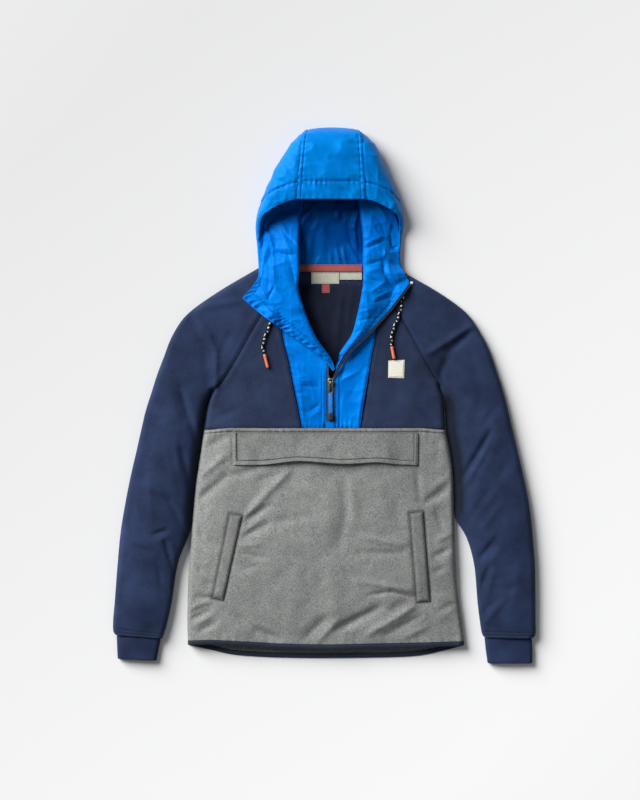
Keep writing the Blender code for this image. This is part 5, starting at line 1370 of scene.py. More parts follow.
def zip_open(side, grid, normals):
    """The open half of the zip along a lapel's edge: its tape and its teeth."""
    chosen = (grid[:, -1, 3] >= 1) & (grid[:, -1, 3] <= 6)
    edge, out = grid[chosen, -1, :3], outwards(grid)[chosen]
    rim = normals[chosen, -1]
    rim = unit(rim - out * (rim * out).sum(1, keepdims=True))
    if side == "left":
        # Folded in under the lapel's edge, so that none of it shows from above
        hidden = grid[chosen, -8:-2, :3] - normals[chosen, -8:-2] * (LINING + 0.15)
        strip, tops = hidden, normals[chosen, -8:-2]
    else:
        wide = 4.4
        begin = edge + out * 1.5 * GAP - rim * 0.6
        lead = smooth(ZIP_LEAD, 6)
        z = front(lead[:, 0], lead[:, 1]) + 1.2
        z += (begin[0, 2] - z[-1]) * np.linspace(0, 1, len(z)) ** 1.5
        begin = np.vstack([np.column_stack([lead, z]), begin])
        out = np.vstack([np.tile(out[0], (len(lead), 1)), out])
        rim = np.vstack([np.tile((0.0, 0, 1), (len(lead), 1)), rim])
        strip = np.stack([begin + out * wide * share for share in np.linspace(0, 1, 5)], axis=1)
        tops = np.repeat(rim[:, None], 5, 1)
    made = shell(f"zip_tape_open_{side}", strip, tops, TAPE, ZIP_CLOTH,
                 replaces=(f"zip_tape_turned_{side}",))
    sewn_to(made, f"lapel_{side}")
    if side == "right":
        line = begin + out * 1.3 + rim * 0.5
        run = run_of(line)
        places = np.arange(4, run[-1] - 2, TOOTH_PITCH)
        ahead = unit(sampled(places, run, np.gradient(line, axis=0)))
        teeth("zip_coil_open", sampled(places, run, line), ahead, sampled(places, run, rim), 2.2)


def flat_piece(name, corners, step, thickness, finish, swell, node, stitches=(), thread=None,
               lift=LIFT, painted_edge_shade=0.6, edge_reach=0.9, tone=0.0, on=("lower_front",)):
    """A piece sewn flat on the front, from its four corners, rounded along its edges."""
    top_left, top_right, bottom_right, bottom_left = (np.array(c, float) for c in corners)
    r = thickness / 2
    rim = rings(r, stitches, 0.5) if stitches else [r, r + 0.7, r + 1.6, r + 2.8]
    plan, d = coons(np.array([bottom_left, top_left]), np.array([bottom_right, top_right]),
                    rim, rim, rim, rim, step)
    near = np.minimum.reduce([d["left"], d["right"], d["top"], d["bottom"]]) - r
    x, y = plan[..., 0], plan[..., 1]
    groove, shade = stitched(near, stitches, 0.45, 0.6) if stitches else (0 * near, 0 * near)
    z = front(x, y, seams=False) + lift + thickness + groove
    z += swell * (1 - np.exp(-near / 2.2)) - 0.5 * np.exp(-near / 1.0)
    z += soft_noise(x, y, 16, 81) * 0.5 * swell
    grid = np.dstack([plan, z])
    # Painted shade in the stitch grooves and along the edges; tone darkens the whole piece evenly through
    # the same attribute
    shell(name, grid, facing_up(grid), thickness, finish, "start end first last",
          np.maximum(0.7 * shade, painted_edge_shade * np.exp(-near / edge_reach)) + tone,
          replaces=(node,), rests_on=on)
    if thread:
        for place in stitches:
            for i, j in (((np.abs(d["bottom"][:, 0] - place - r)).argmin(), None),
                         ((np.abs(d["top"][:, 0] - place - r)).argmin(), None),
                         (None, (np.abs(d["left"][5] - place - r)).argmin()),
                         (None, (np.abs(d["right"][5] - place - r)).argmin())):
                line = grid[i, 2:-2] if j is None else grid[2:-2, j]
                stitch_line(thread, line, np.tile((0.0, 0, 1), (len(line), 1)))


def sewn_on():
    """Pocket welts, the chest patch and the cover of the zip's end."""
    for side, corners in WELTS.items():
        flat_piece(f"pocket_welt_{side}", corners, 2.4, 1.6, MARL, 1.0, f"welt_{side}", (2.2,),
                   GREY_THREAD, lift=0.15, painted_edge_shade=0.9, edge_reach=1.1, tone=0.24)
    flat_piece("blank_chest_patch", CHEST_PATCH, 1.8, TAPE, PATCH, 0.15, "chest_patch", (1.6,),
               GREY_THREAD, on=("upper_front_right",))
    flat_piece("zip_end_garage", ZIP_GARAGE, 1.4, TAPE, SHELL, 0.3, "zip_garage", (1.6,),
               BLUE_THREAD, painted_edge_shade=0.8, on=("placket_left_panel", "placket_right_panel"))


def neck_trims():
    """The tape, labels and loop at the back of the neck."""
    for name, (x0, y0, x1, y1, z), finish, node, wave in (
            ("coral_neck_tape", NECK_TAPE, CORAL, "neck_tape", 0.25),
            ("blank_main_label", MAIN_LABEL, SHADED_LABEL, "main_label", 0.35),
            ("blank_size_label", SIZE_LABEL, SHADED_LABEL, "size_label", 0.3),
            ("coral_loop_tab", LOOP_TAB, CORAL, "loop_tab", 0.3)):
        r = TAPE / 2
        edge = [r, r + 0.5, r + 1.2]
        xs = spaced(x1 - x0, edge, edge, 1.8)[0] + x0
        ys = spaced(y1 - y0, edge, edge, 1.6)[0] + y0
        x, y = np.meshgrid(xs, ys)
        near = np.minimum.reduce([x - x0, x1 - x, y - y0, y1 - y])
        groove, shade = stitched(near, (1.6,), 0.2, 0.5)
        height = z + wave * (soft_noise(x, y, 15, 91) + 0.5) + groove
        grid = np.dstack([x, y, height])
        # Painted shade in the stitch grooves
        shell(name, grid, facing_up(grid), TAPE, finish, "start end first last", 0.5 * shade,
              replaces=(node,), rests_on=("upper_back",))


def flap():
    """The chest pocket flap in one piece with the band sewn round its three free sides."""
    r = FLEECE / 2
    side_rim = [0.3, 1, 2, 3.4, 5, 6.4, 7, FLAP_BAND, 8.2, 8.8, 10]
    plan, d = coons(FLAP_LEFT, FLAP_RIGHT, side_rim, side_rim, side_rim, [r, r + 1, r + 2.4], 2.3,
                    smooth(FLAP_BOTTOM))
    x, y = plan[..., 0], plan[..., 1]
    share_up = np.clip(d["bottom"] / FLAP_HEIGHT, 0, 1)
    share_across = np.clip(d["left"] / FLAP_WIDTH, 0, 1)
    open_by = FLAP_OPEN * (1 - share_up) ** 1.6 * np.sin(math.pi * share_across) ** 1.2
    near = np.minimum.reduce([d["left"], d["right"], d["bottom"]])
    band = 1 - ramp(near, FLAP_BAND - 1, FLAP_BAND + 0.6)
    groove, shade = stitched(near, (FLAP_BAND,), 1.5, 0.9)
    waves = creases(x, y, FLAP_WAVES) * ramp(d["top"], 4, 20)
    z = front(x, y, seams=False) + LIFT + FLEECE + 1.5 * band + open_by + groove
    z += waves * (0.4 + 0.6 * (1 - share_up)) + soft_noise(x, y, 20, 93) * 0.9
    z += puckers(x, d["top"], 12, 0.4, 9, 95)
    z = np.maximum(z, front(x, y, seams=False) + LIFT + FLEECE + 0.2)
    grid = np.dstack([plan, z])
    # Painted shade in the stitch groove and along the top seam, and 0.2 more all over to offset the light
    # the raised flap catches
    shell("chest_pocket_flap", grid, facing_up(grid), FLEECE, MARL, "start end first last",
          np.maximum(0.9 * shade, 0.8 * beside(d["top"], 1.5)) + 0.2,
          replaces=("chest_flap", "flap_binding"), rests_on=("lower_front",))


# ---- hood -------------------------------------------------------------------------------------

def tagged(grid):
    """Adds each point's row and column as two more coordinates, which survive respacing."""
    rows, columns = grid.shape[:2]
    i, j = np.meshgrid(np.arange(rows, dtype=float), np.arange(columns, dtype=float), indexing="ij")
    return np.dstack([grid, i, j])


def fine_table(table, row_steps, column_steps):
    """A table of sections as a fine grid."""
    rows = np.array([smooth(row, column_steps) for row in table])
    return np.array([smooth(column, row_steps)
                     for column in rows.transpose(1, 0, 2)]).transpose(1, 0, 2)


def hood_table(wider):
    """The sections of a hood side, each moved out by so many mm."""
    table = np.array(HOOD_SIDE, float)
    table[:, :, 0] -= np.outer(wider, WIDER_SHARE)
    return table


def hood():
    """The hood's two sides and the panel between them, from the same edges."""
    left = fine_table(hood_table([0] * len(HOOD_SIDE)), 10, 8)
    right = fine_table(hood_table(HOOD_RIGHT_WIDER), 10, 8)
    right[..., 0] = 2 * MIDDLE_X - right[..., 0]
    for grid in (left, right):
        grid[:, :, 2] = np.maximum(grid[:, :, 2], 0)
    for side, grid in (("left", left), ("right", right)):
        hood_side(side, grid)
    hood_gusset(np.vstack([left[:, 0], left[-1, 1:]]), np.vstack([right[:, 0], right[-1, 1:]]),
                len(left))


def puff(d, depth, reach):
    """How far padded cloth is drawn in beside a seam."""
    return -depth * np.exp(-np.maximum(d, 0) / reach)


def dashes(run, seed):
    """Painted shade of a quilting line: short dark dashes where the stitches pull, in uneven groups."""
    groups = np.clip(0.5 + 2.4 * soft_noise(run, np.zeros_like(run), 13, seed), 0.15, 1)
    return groups * (0.6 + 0.4 * np.cos(2 * math.pi * run / 5.2))


def hood_side(side, rough):
    """A padded side of the hood, quilted along its face edge."""
    r = PADDING / 2
    face_rim = sorted({r, r + 0.8, r + 2, r + 3.6, r + 5.4, QUILT_LINE - 2, QUILT_LINE - 1,
                       QUILT_LINE, QUILT_LINE + 1, QUILT_LINE + 2})
    grid = respace(tagged(rough), [0.15 * r, r + 0.6, r + 2, r + 4], face_rim[:5], 2.6)
    grid = across(grid, [r, r + 0.8, r + 2],
                  [0.15 * r, r + 0.4, r + 1.4, r + 3, r + 5, r + 8], 2.6)
    p = grid[..., :3]
    from_start, from_edge, from_crown = from_sides(p)
    normals = facing_down(grid, (2, 2))
    x, y = p[..., 0], p[..., 1]
    free = ramp(p[..., 2], 1, 12)
    upper = ramp(y, 330, 372)
    quilt, quilt_mark = stitched(from_edge, (QUILT_LINE,), 2.6, 1.9)
    run = np.array([run_of(p[:, -1])] * p.shape[1]).T
    relief = quilt * upper + puff(from_crown, 1.4, 4) + puff(from_edge - 1, 1.2, 3)
    relief += puckers(run, from_edge - QUILT_LINE, 9.5, 1.8, 5, 101) * upper
    relief += puckers(run, from_edge, 14, 0.6, 7, 103)
    relief += puckers(x + y, from_crown, 12, 0.9, 9, 105)
    relief += 1.3 * creases(x, y, CAP_CREASES) + soft_noise(x, y, 32, 107) * 3.0
    relief += (crumple(x, y, 22, 109) - 0.4) * 1.3
    grid[..., :3] = p + normals * (relief * free)[..., None]
    grid[..., 2] = np.maximum(grid[..., 2], 0)
    # Painted shade: dark dashes along the quilting line, and along its seams to the gusset
    dark = np.maximum.reduce([dashes(run, 106) * quilt_mark * upper * free,
                              0.1 * np.exp(-(from_crown - r) / 1.2),
                              0.5 * np.exp(-(from_start - r) / 1.6)])
    shell(f"padded_hood_{side}", grid, normals, PADDING, HOOD, "start end first last", dark,
          replaces=(f"hood_side_{side}",), rests_on=("table",))


def hood_gusset(seam_left, seam_right, turn):
    """The centre panel, from the nape along the table, round the crown and over to the face."""
    shares = np.linspace(0, 1, 25)
    run = np.gradient((seam_left + seam_right) / 2, axis=0)
    outward = -unit(np.stack([np.zeros(len(run)), -run[:, 2], run[:, 1]], 1))
    i = np.arange(len(run)) / 5.0
    rise = ramp(i, turn / 5 - 4, turn / 5 + 5)
    bulge = GUSSET_BULGE * rise * (1 - 0.6 * ramp(i, turn / 5 + 5, len(run) / 5 - 1))
    rough = (seam_left[:, None] * (1 - shares)[:, None] + seam_right[:, None] * shares[:, None]
             + outward[:, None] * (bulge[:, None] * np.sin(math.pi * shares) ** 0.7)[..., None])
    rough[..., 2] = np.maximum(rough[..., 2], 0)
    r = PADDING / 2
    seam_rim = [0.15 * r, r + 0.6, r + 2, r + 3.6, r + 5, SEAM_BAND - 0.8, SEAM_BAND, SEAM_BAND + 0.8,
                SEAM_BAND + 1.8, SEAM_BAND + 3.4]
    grid = respace(tagged(rough), seam_rim, seam_rim, 2.8)
    grid = across(grid, [r, r + 0.8, r + 2], [r, r + 0.8, r + 2, r + 4], 2.7)
    p = grid[..., :3]
    from_left, from_right, from_face = from_sides(p)
    near = np.minimum(from_left, from_right)
    normals = facing_down(grid, (2, p.shape[1] // 2))
    x, y = p[..., 0], p[..., 1]
    free = ramp(p[..., 2], 1, 12)
    over = ramp(normals[..., 2], -0.2, 0.5)
    groove, mark = stitched(near, (SEAM_BAND,), 0.9, 1.0)
    quilt, quilt_mark = stitched(from_face, (QUILT_LINE + 1.5,), 2.6, 1.9)
    inside_bands = ramp(near, SEAM_BAND, SEAM_BAND + 3)
    band = 0.6 * np.sin(math.pi * np.clip(near / SEAM_BAND, 0, 1))
    relief = groove + band + puff(near, 1.0, 1.4) + quilt * inside_bands * over
    relief += puckers(x, from_face - QUILT_LINE, 9, 1.8, 5, 111) * over * inside_bands
    relief += puckers(x, from_face, 15, 0.6, 7, 113) * over
    relief += puckers(y, near - SEAM_BAND, 13, 0.9, 8, 115) * over
    relief += (1.3 * creases(x, y, CAP_CREASES) + soft_noise(x, y, 34, 117) * 3.0
               + (crumple(x, y, 24, 119) - 0.4) * 1.3) * over
    outer = grid.copy()
    outer[..., :3] = p + normals * (relief * free)[..., None]
    outer[..., 2] = np.maximum(outer[..., 2], 0)
    # Inside, the lining rises in soft folds from the nape and hangs slack under the crown
    inner = outer[..., :3] - normals * PADDING
    hollow = 1 - ramp(p[..., 2], 0.5, 8)
    lining = (creases(x, y, HOLLOW_FOLDS) + soft_noise(x, y, 26, 121) * 2.4
              + (crumple(x, y, 18, 123) - 0.3) * 1.0) * ramp(from_nape(p), 2, 12)
    inner[..., 2] += np.maximum(lining, -1.2) * hollow
    # Painted shade: in the seam bands, dark dashes along the quilting line, and all over the hollow inside
    # the hood, deepest far from the nape
    dark = np.maximum.reduce([0.2 * mark * free, 0.1 * np.exp(-(near - r) / 1.0) * free,
                              dashes(x, 108) * quilt_mark * inside_bands * over,
                              hollow * (0.6 + 0.4 * ramp(from_nape(p), 0, 70))])
    made = shell("padded_hood_gusset", outer, normals, PADDING, HOOD, "start end first last",
                 dark, replaces=("hood_gusset",), inner=inner)
    cloth_sheet(grid)


def from_nape(points):
    """How far up from its first row each point of the gusset lies."""
    return points[..., 1] - points[0, :, 1][None]


# ---- lapels -----------------------------------------------------------------------------------

def over_all(line):
    """Height of the solids' front under a line, without the finer creases."""
    x, y = line[:, 0], line[:, 1]
    d = edge_distance(x, y, "body")
    return plain_top(x, y, d, "body") + creases(x, y, FOLDS, False) * (1 - beside(d, 14))


def facing_profile(row):
    """One section of a turned-out facing: under, round the roll, over to its edge."""
    edge_x, edge_y, roll_x, roll_y, stands, crest, rim = row
    edge, roll = np.array([edge_x, edge_y]), np.array([roll_x, roll_y])
    width = np.linalg.norm(edge - roll)
    out = (edge - roll) / width

    def over_front(share):
        return over_all((roll + out * width * share)[None])[0] + LIFT

    if stands is None:
        low = over_front(0.15)
        tuck, half = min(ROLL_TUCK, 0.5 * width), crest / 2
        profile = [(tuck, over_front(tuck / width)), (half, over_front(half / width)),
                   (0.15 * half, low + 0.45 * half), (0, low + half), (0.3 * half, low + 1.6 * half),
                   (half, low + crest),
                   (0.35 * width + 0.5 * half,
                    max(over_front(0.4) + SOLID_FACING, low + crest * 0.94)),
                   (0.66 * width, over_front(0.66) + SOLID_FACING + 0.42 * crest),
                   (0.88 * width, over_front(0.88) + SOLID_FACING + 0.1 * crest),
                   (width, over_front(1) + SOLID_FACING)]
    else:
        profile = [(5.0, stands), (3.0, stands + 5), (1.0, 0.35 * crest), (0, 0.6 * crest),
                   (1.5, 0.85 * crest), (7, crest), (0.4 * width, crest * 0.97),
                   (0.66 * width, crest * 0.4 + rim * 0.6 + 3), (0.88 * width, rim + 2.2),
                   (width, rim)]
    return [(*(roll + out * a), z) for a, z in profile]


def draw_corner(rough, corner):
    """Straightens the lapel's edge on both sides of its corner row, which makes it a point."""
    outer_share = ramp(np.arange(rough.shape[1]) / 6, 5, 8)[:, None]
    for part in (corner - 1, corner):
        start, end = rough[part * 8].copy(), rough[part * 8 + 8].copy()
        for k in range(1, 8):
            straight = start + (end - start) * k / 8
            rough[part * 8 + k] += 0.8 * outer_share * (straight - rough[part * 8 + k])


def facing(side):
    """A lapel: the hood's lining turned out from the zip up into the hood."""
    rows = [LAPEL_TIPS[side]] + FACINGS[side]
    rough = fine_table([facing_profile(row) for row in rows], 8, 6)
    draw_corner(rough, 6 if side == "left" else 7)
    rough = tagged(rough)
    rough[..., 3] = rough[..., 3] / 8 - 1
    rough[..., 4] /= 6
    # Under the hood's front edge the lapel sinks back, and its edge fills the fold beside the hood
    rough[..., 2] -= HOOD_SHADE[side] * ramp(rough[..., 3], 8.2, 12.2)
    rough[..., 2] = np.maximum(rough[..., 2], SOLID_PADDING + 2 * GAP)
    away = 3.0 if side == "right" else -1.0
    rough[..., 0] += away * ramp(rough[..., 3], 7, 8.5) * ramp(rough[..., 4], 6.5, 9)
    r = LINING / 2
    edge_rim = [r, r + 0.6, r + 1.4, 3.4, 4.0, 4.6, 5.4, 6.4, 7.0, 7.6, 8.6]
    grid = respace(rough, [r, r + 1.5], edge_rim, 2.2)
    grid = across(grid, [r, r + 1], [r, r + 1], 2.2)
    p = grid[..., :3]
    x, y, tag = p[..., 0], p[..., 1], grid[..., 3]
    laid = (tag < 7) & (grid[..., 4] > 2.5)
    cord = distance(x, y, CORDS[side])
    hump = LIFT + CORD_HUMP * beside(cord, CORD_HUMP_WIDTH)
    floor = front(x, y, seams=False) + LIFT + LINING
    p[..., 2] += LAPEL_RAISED[side] * beside(tag - 2, 2.2) * ramp(grid[..., 4], 4, 8)
    p[..., 2] = np.maximum(p[..., 2], np.where(laid, floor + hump + 1.0, -1.0))
    normals = facing_up(grid, (len(grid) // 2, -6))

    from_edge = from_sides(p)[1]
    run = np.broadcast_to(run_of(p[:, -1])[:, None], from_edge.shape)
    shown = ramp(grid[..., 4], 2.6, 4.2)
    relief = 1.9 * creases(x, y, LAPEL_CREASES[side], sharp=True) * shown
    relief += ((crumple(x + 0.4 * y, y, 26, 131) - 0.35) * 1.6
               + (crumple(x, y + 0.3 * x, 12, 133) - 0.35) * 0.8
               + soft_noise(x, y, 34, 135) * 2.4) * shown * ramp(tag, 0.5, 3)
    # dark: the lapel's painted shade, in its stitch lines and under the hood's front edge
    dark, gathers = np.zeros(from_edge.shape), 0
    lapel = 1 - ramp(tag, 6.2, 7.4)
    if side == "left":
        band = np.interp(tag, np.arange(14), GATHER_BAND)
        inside = (1 - ramp(from_edge, band - 2, band + 3)) * lapel
        wander = (soft_noise(run, from_edge, 15, 137) * 4
                  + soft_noise(run, 0.3 * from_edge, 44, 138) * 8)
        fine = ramp(from_edge, 0.35 * band, 0.9 * band + 1)
        wave = ((1 - fine) * 1.5 * np.cos(2 * math.pi * run / 14 + wander)
                + fine * 0.7 * np.cos(2 * math.pi * run / 9 + 1.6 * wander))
        strength = np.clip(0.75 + 1.9 * soft_noise(run, 2 * from_edge, 19, 139), 0.2, 1.4)
        strength = strength * (1 - 0.5 * ramp(2.2 - tag, 0, 1.5))
        reach = inside + np.exp(-np.maximum(from_edge - band, 0) / 5) * (1 - inside) * lapel
        gathers = 1.25 * wave * strength * reach * (0.35 + 0.65 * ramp(from_edge, 0, 4)) * shown
        pucker, mark = stitched(from_edge - band, (0,), 1.3, 1.5)
        relief += pucker * lapel * shown * (band > 10)
        dark = np.maximum(dark, 0.4 * mark * lapel * shown * (band > 10))
        seam, mark = stitched(from_edge, (LAPEL_SEAM[side],), 0.6, 0.7)
        relief, dark = relief + seam * lapel, np.maximum(dark, 0.8 * mark * lapel)
    else:
        seam, mark = stitched(from_edge, (LAPEL_SEAM[side],), 0.8, 0.8)
        relief, dark = relief + seam * lapel, np.maximum(dark, 0.9 * mark * lapel)
        relief += puckers(run, from_edge - 7, 10, 0.7, 8, 141) * lapel
    relief = relief * (0.25 + 0.75 * ramp(from_edge, 0, 7)) + gathers
    dark = np.maximum(dark, DEEP_SHADE[side] * ramp(tag, 8.3, 11.5))
    relief *= ramp(tag, -0.5, 1.2) * 0.85 + 0.15
    p += normals * relief[..., None]
    p[..., 2] = np.maximum(p[..., 2], np.where(laid, floor + 0.5 * hump, -1.0))
    thickness = np.full(p.shape[:2], LINING) * (0.5 + 0.5 * ramp(tag, -1, 1.6))
    shell(f"lapel_{side}", grid, normals, thickness, LINING_CLOTH, "end first last", dark,
          replaces=(f"facing_{side}",), rests_on=(f"upper_front_{side}",))
    on = grid[:, -1, 3] < 6.3
    column = np.abs(from_edge[len(grid) // 3] - LAPEL_SEAM[side]).argmin()
    stitch_line(BLUE_THREAD, p[on, column], normals[on, column])
    zip_open(side, grid, facing_up(grid, (len(grid) // 2, -6)))


# ---- drawcords --------------------------------------------------------------------------------

def round_tube(name, line, radii, finish, swirl=0.0):
    """A round tube along a 3-D line, with its UV map in turns and in diameters."""
    run, around, count = run_of(line), 20, len(line)
    ahead = unit(np.gradient(line, axis=0))
    side = unit(np.cross(ahead, (0, 0, 1.0)))
    up = np.cross(side, ahead)
    angles = np.linspace(0, 2 * math.pi, around + 1)[:-1]
    rows = []
    for k, radius in enumerate(radii):
        braid = 1 + swirl * (np.abs(np.sin(4 * angles + run[k] * 0.9))
                             * np.abs(np.sin(4 * angles - run[k] * 0.9)) - 0.5)
        rows.append(line[k] + (side[k] * np.cos(angles)[:, None] + up[k] * np.sin(angles)[:, None])
                    * radius * braid[:, None])
    last = (count - 1) * around
    faces = []
    for k in range(around):
        m = (k + 1) % around
        faces += [(i + k, i + around + k, i + around + m, i + m) for i in range(0, last, around)]
        faces += [(last + around, k, m), (last + around + 1, last + m, last + k)]
    made = mesh_object(name, np.vstack(rows + [line[:1], line[-1:]]), faces, finish)
    layer = made.data.uv_layers.new(name="cloth")
    for polygon in made.data.polygons:
        vertices = [made.data.loops[c].vertex_index for c in polygon.loop_indices]
        turns = [vertex % around / around for vertex in vertices]
        wraps = max(turns) - min(turns) > 0.5
        for corner, vertex, turn in zip(polygon.loop_indices, vertices, turns):
            turn = turn + 1 if wraps and turn < 0.5 else turn
            row = min(vertex // around, count - 1)
            layer.data[corner].uv = (turn * 2 * math.pi, run[row] / CORD_RADIUS)
    return made


def on_top(line, radius):
    """A plan line on top of the front, at the middle of a cord of the given radius."""
    base = np.maximum(front(line[:, 0], line[:, 1]), over_all(line))
    return np.column_stack([line, base + LIFT + radius])


def drawcords():
    """Both cords with their tips, as they hang from under the lapels."""
    for side, route, tip in (("left", CORD_LEFT, TIP_LEFT), ("right", CORD_RIGHT, TIP_RIGHT)):
        line = on_top(smooth(route, 12), CORD_RADIUS)
        made = round_tube(f"cord_{side}", line, [CORD_RADIUS] * len(line), CORD, 0.12)
        settle(made, GARMENT, (f"drawcord_{side}",))
        start, stop = np.array(tip, float)
        shares = np.array([0, 0.02, 0.06, 0.12, 0.25, 0.5, 0.75, 0.88, 0.95, 0.985, 1.0])
        sizes = np.array([0.72, 0.86, 0.95, 0.98, 0.95, 0.92, 0.96, 0.98, 0.9, 0.72, 0.45])
        tip_line = on_top(start + (stop - start) * shares[:, None], TIP_RADIUS)
        end = round_tube(f"moulded_tip_{side}", tip_line, sizes * TIP_RADIUS, TIP)
        settle(end, GARMENT, (f"cord_tip_{side}",))
        run_of(line)[-1] * MM


# ---- zip slider and pull ----------------------------------------------------------------------

def nothing_selected():
    """Leaves edit mode and lets go of every object."""
    if bpy.context.object and bpy.context.object.mode != "OBJECT":
        bpy.ops.object.mode_set(mode="OBJECT")
    bpy.ops.object.select_all(action="DESELECT")


def round_edges(name, finish, bevel, segments, sharp_only=False):
    """Names the object just added, rounds its edges in edit mode and gives it its finish."""
    made = bpy.context.object
    made.name = made.data.name = name
    bpy.ops.object.transform_apply(location=True, rotation=True, scale=True)
    bpy.ops.object.mode_set(mode="EDIT")
    bpy.ops.mesh.select_all(action="DESELECT" if sharp_only else "SELECT")
    if sharp_only:
        bpy.ops.mesh.edges_select_sharp(sharpness=math.radians(60))
    bpy.ops.mesh.bevel(offset=bevel * MM, segments=segments, affect="EDGES")
    bpy.ops.object.mode_set(mode="OBJECT")
    made.data.shade_smooth()
    made.data.set_sharp_from_angle(angle=math.radians(40))
    made.data.materials.append(finish)
    return made


def box_piece(name, low, high, finish, bevel, segments=3):
    """A block between two corners, its edges rounded."""
    nothing_selected()
    centre = [(a + b) / 2 * MM for a, b in zip(low, high)]
    bpy.ops.mesh.primitive_cube_add(size=1, location=centre)
    bpy.context.object.scale = [(b - a) * MM for a, b in zip(low, high)]
    return round_edges(name, finish, bevel, segments)


def joined(name, pieces):
    """Several objects as one, under a new name."""
    nothing_selected()
    for piece in pieces:
        piece.select_set(True)
    bpy.context.view_layer.objects.active = pieces[0]
    bpy.ops.object.join()
    made = bpy.context.object
    made.name = made.data.name = name
    return made


def rod(name, start, end, radius, finish, vertices=24):
    """A round bar between two points, its ends rounded."""
    nothing_selected()
    a, b = np.array(start, float), np.array(end, float)
    centre, length = (a + b) / 2, np.linalg.norm(b - a)
    run = (b - a) / length
    turn = (0, math.acos(run[2]), math.atan2(run[1], run[0]))
    bpy.ops.mesh.primitive_cylinder_add(vertices=vertices, radius=radius * MM, depth=length * MM,
                                        location=(centre * MM).tolist(), rotation=turn)
    return round_edges(name, finish, 0.3 * radius, 2, True)


def corners_of(node):
    """Two corners of a solid, in mm."""
    return (np.array(corner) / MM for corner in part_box(node))


def slider_and_pull():
    """The slider at the top of the closed zip, and what turns on its pin."""
    x, y = SLIDER
    low, high = corners_of("zip_slider")
    base, top_z = low[2], high[2]
    plate = base + SLIDER_HEIGHT
    hinge = next(j for j in frame["joints"] if j["child"] == PULL)
    pin_z = hinge["pos_m"][2] / MM
    body = box_piece("slider_plate", (x - SLIDER_WIDTH / 2, y - SLIDER_LENGTH / 2, base),
                     (x + SLIDER_WIDTH / 2, y + SLIDER_LENGTH / 2, plate), PLATE, 1.1)
    narrow(body, y)
    lugs = [box_piece(f"slider_lug_{k}", (x + k * 4.2 - 0.6, y - 2.2, plate - 0.5),
                      (x + k * 4.2 + 0.6, y + 2.2, top_z), PLATE, 0.4) for k in (-1, 1)]
    pin = rod("slider_pin", (x - 4.3, y, pin_z), (x + 4.3, y, pin_z), PIN_RADIUS, PLATE)
    hollow = box_piece("slider_hollow", (x - 2.9, y - 5.4, plate - 0.6),
                       (x + 2.9, y + 5.2, plate + 0.15), HOLLOW_PLATE, 0.6)
    slider = joined("slider", [body, pin, hollow] + lugs)
    settle(slider, GARMENT, ("zip_slider",))

    slope = math.radians(12)
    ring = torus_ring(x, y, pin_z)
    (near_y, near_z), (far_y, far_z) = ((y - math.cos(slope) * r, pin_z - math.sin(slope) * r)
                                        for r in (1.7, TAB_LENGTH))
    bars = [rod(f"tab_bar_{k}", (x + k * (TAB_HALF - BAR_RADIUS), near_y, near_z),
                (x + k * (FOOT_HALF - BAR_RADIUS), far_y + 0.8, far_z), BAR_RADIUS, PLATE, 16)
            for k in (-1, 1)]
    cross, neck = (rod(name, (x - half + 0.2, at_y, at_z), (x + half - 0.2, at_y, at_z),
                       BAR_RADIUS, PLATE, 16)
                   for name, half, at_y, at_z in (("tab_cross", FOOT_HALF, far_y + 0.9, far_z),
                                                  ("tab_neck", TAB_HALF, near_y - 1.2, near_z)))
    tab = joined("metal_pull_tab", [ring, cross, neck] + bars)
    settle(tab, PULL, ("pull_tab",))

    low, high = corners_of("pull_strap")
    strap = box_piece("pull_strap_tape", (x - STRAP_WIDTH / 2 + 0.4, low[1], low[2]),
                      (x + STRAP_WIDTH / 2 - 0.4, high[1], high[2]), STRAP, 0.9)
    settle(strap, PULL, ("pull_strap",))
    low, high = corners_of("pull_end")
    low[0], high[0] = low[0] + 0.7, high[0] - 0.7
    grip = box_piece("rubber_pull_end", low, high, GRIP, 1.5, 4)
    ridge = [box_piece(f"grip_ridge_{k}", (x - 3.6, low[1] + 2.0 + 2.6 * k, high[2] - 0.6),
                       (x + 3.6, low[1] + 3.5 + 2.6 * k, high[2] + 0.5), GRIP, 0.3, 2)
             for k in range(4)]
    grip = joined("rubber_pull_end", [grip] + ridge)
    settle(grip, PULL, ("pull_end",))

    low, high = corners_of("zip_end_stop")
    stop = box_piece("moulded_end_stop", low, high, STOP, 0.9)
    settle(stop, GARMENT, ("zip_end_stop",))


def narrow(body, y):
    """Draws the slider's lower end in to its tail."""
    for vertex in body.data.vertices:
        share = (y - vertex.co.y / MM) / (SLIDER_LENGTH / 2)
        if share > 0:
            vertex.co.x = (SLIDER[0] + (vertex.co.x / MM - SLIDER[0]) * (1 - 0.22 * share)) * MM


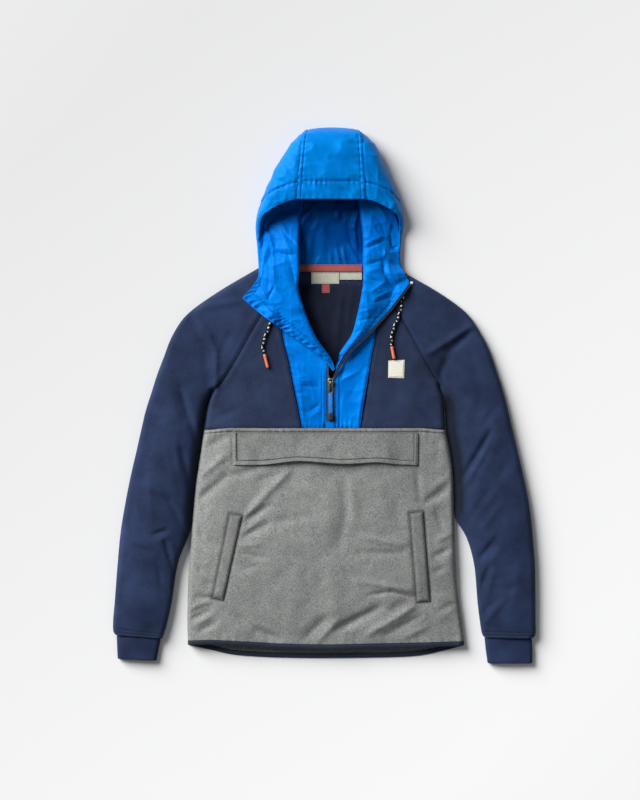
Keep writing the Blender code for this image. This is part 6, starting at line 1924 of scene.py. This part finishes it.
def torus_ring(x, y, z):
    """The eye of the metal tab, round the slider's pin."""
    nothing_selected()
    bpy.ops.mesh.primitive_torus_add(location=(x * MM, y * MM, z * MM), rotation=(0, math.pi / 2, 0),
                                     major_radius=1.75 * MM, minor_radius=0.5 * MM,
                                     major_segments=28, minor_segments=12)
    made = bpy.context.object
    bpy.ops.object.transform_apply(location=True, rotation=True, scale=True)
    for vertex in made.data.vertices:
        vertex.co.x = (x + (vertex.co.x / MM - x) * 3.6) * MM
    made.data.shade_smooth()
    made.data.materials.append(PLATE)
    return made


# ---- table, lights and camera -----------------------------------------------------------------

def surroundings():
    """The table, the camera straight above it, the window's light and a little fill."""
    nothing_selected()
    bpy.ops.mesh.primitive_plane_add(size=12)
    table = bpy.context.object
    table.name = "table"
    table.data.materials.append(table_material())

    camera = bpy.data.objects.new("camera", bpy.data.cameras.new("camera"))
    camera.location = (PHOTO_CENTRE[0] * MM, PHOTO_CENTRE[1] * MM, CAMERA_UP * MM)
    camera.data.sensor_width = 36
    camera.data.lens = 36 * CAMERA_UP / VIEW_HEIGHT
    camera.data.clip_end = 50
    bpy.context.collection.objects.link(camera)
    bpy.context.scene.camera = camera

    for name, place, size, power in (("window", (-11.2, 8.9, 8.8), 12.0, 5750),
                                     ("fill", (6.0, -6.0, 9.0), 6.0, 60)):
        light = bpy.data.lights.new(name, "AREA")
        light.shape = "DISK"
        light.size = size
        light.energy = power
        made = bpy.data.objects.new(name, light)
        made.location = place
        aim = -np.array(place) / np.linalg.norm(place)
        made.rotation_euler = (0, math.acos(-aim[2]), math.atan2(-aim[1], -aim[0]))
        bpy.context.collection.objects.link(made)
    world = bpy.data.worlds.new("studio")
    world.use_nodes = True
    world.node_tree.nodes["Background"].inputs["Color"].default_value = linear("#F4F6FA")
    world.node_tree.nodes["Background"].inputs["Strength"].default_value = 0.17
    bpy.context.scene.world = world
    bpy.context.scene.view_settings.view_transform = "Standard"


def main():
    """Makes every piece, with the cords first and the threads of all seams last."""
    surroundings()
    drawcords()
    lower_back()
    upper_back()
    lower_front()
    upper_fronts()
    hem_bindings()
    sleeves()
    cuffs()
    plackets()
    zip_closed()
    hood()
    for side in ("left", "right"):
        facing(side)
    flap()
    sewn_on()
    neck_trims()
    slider_and_pull()
    sew_threads()


main()
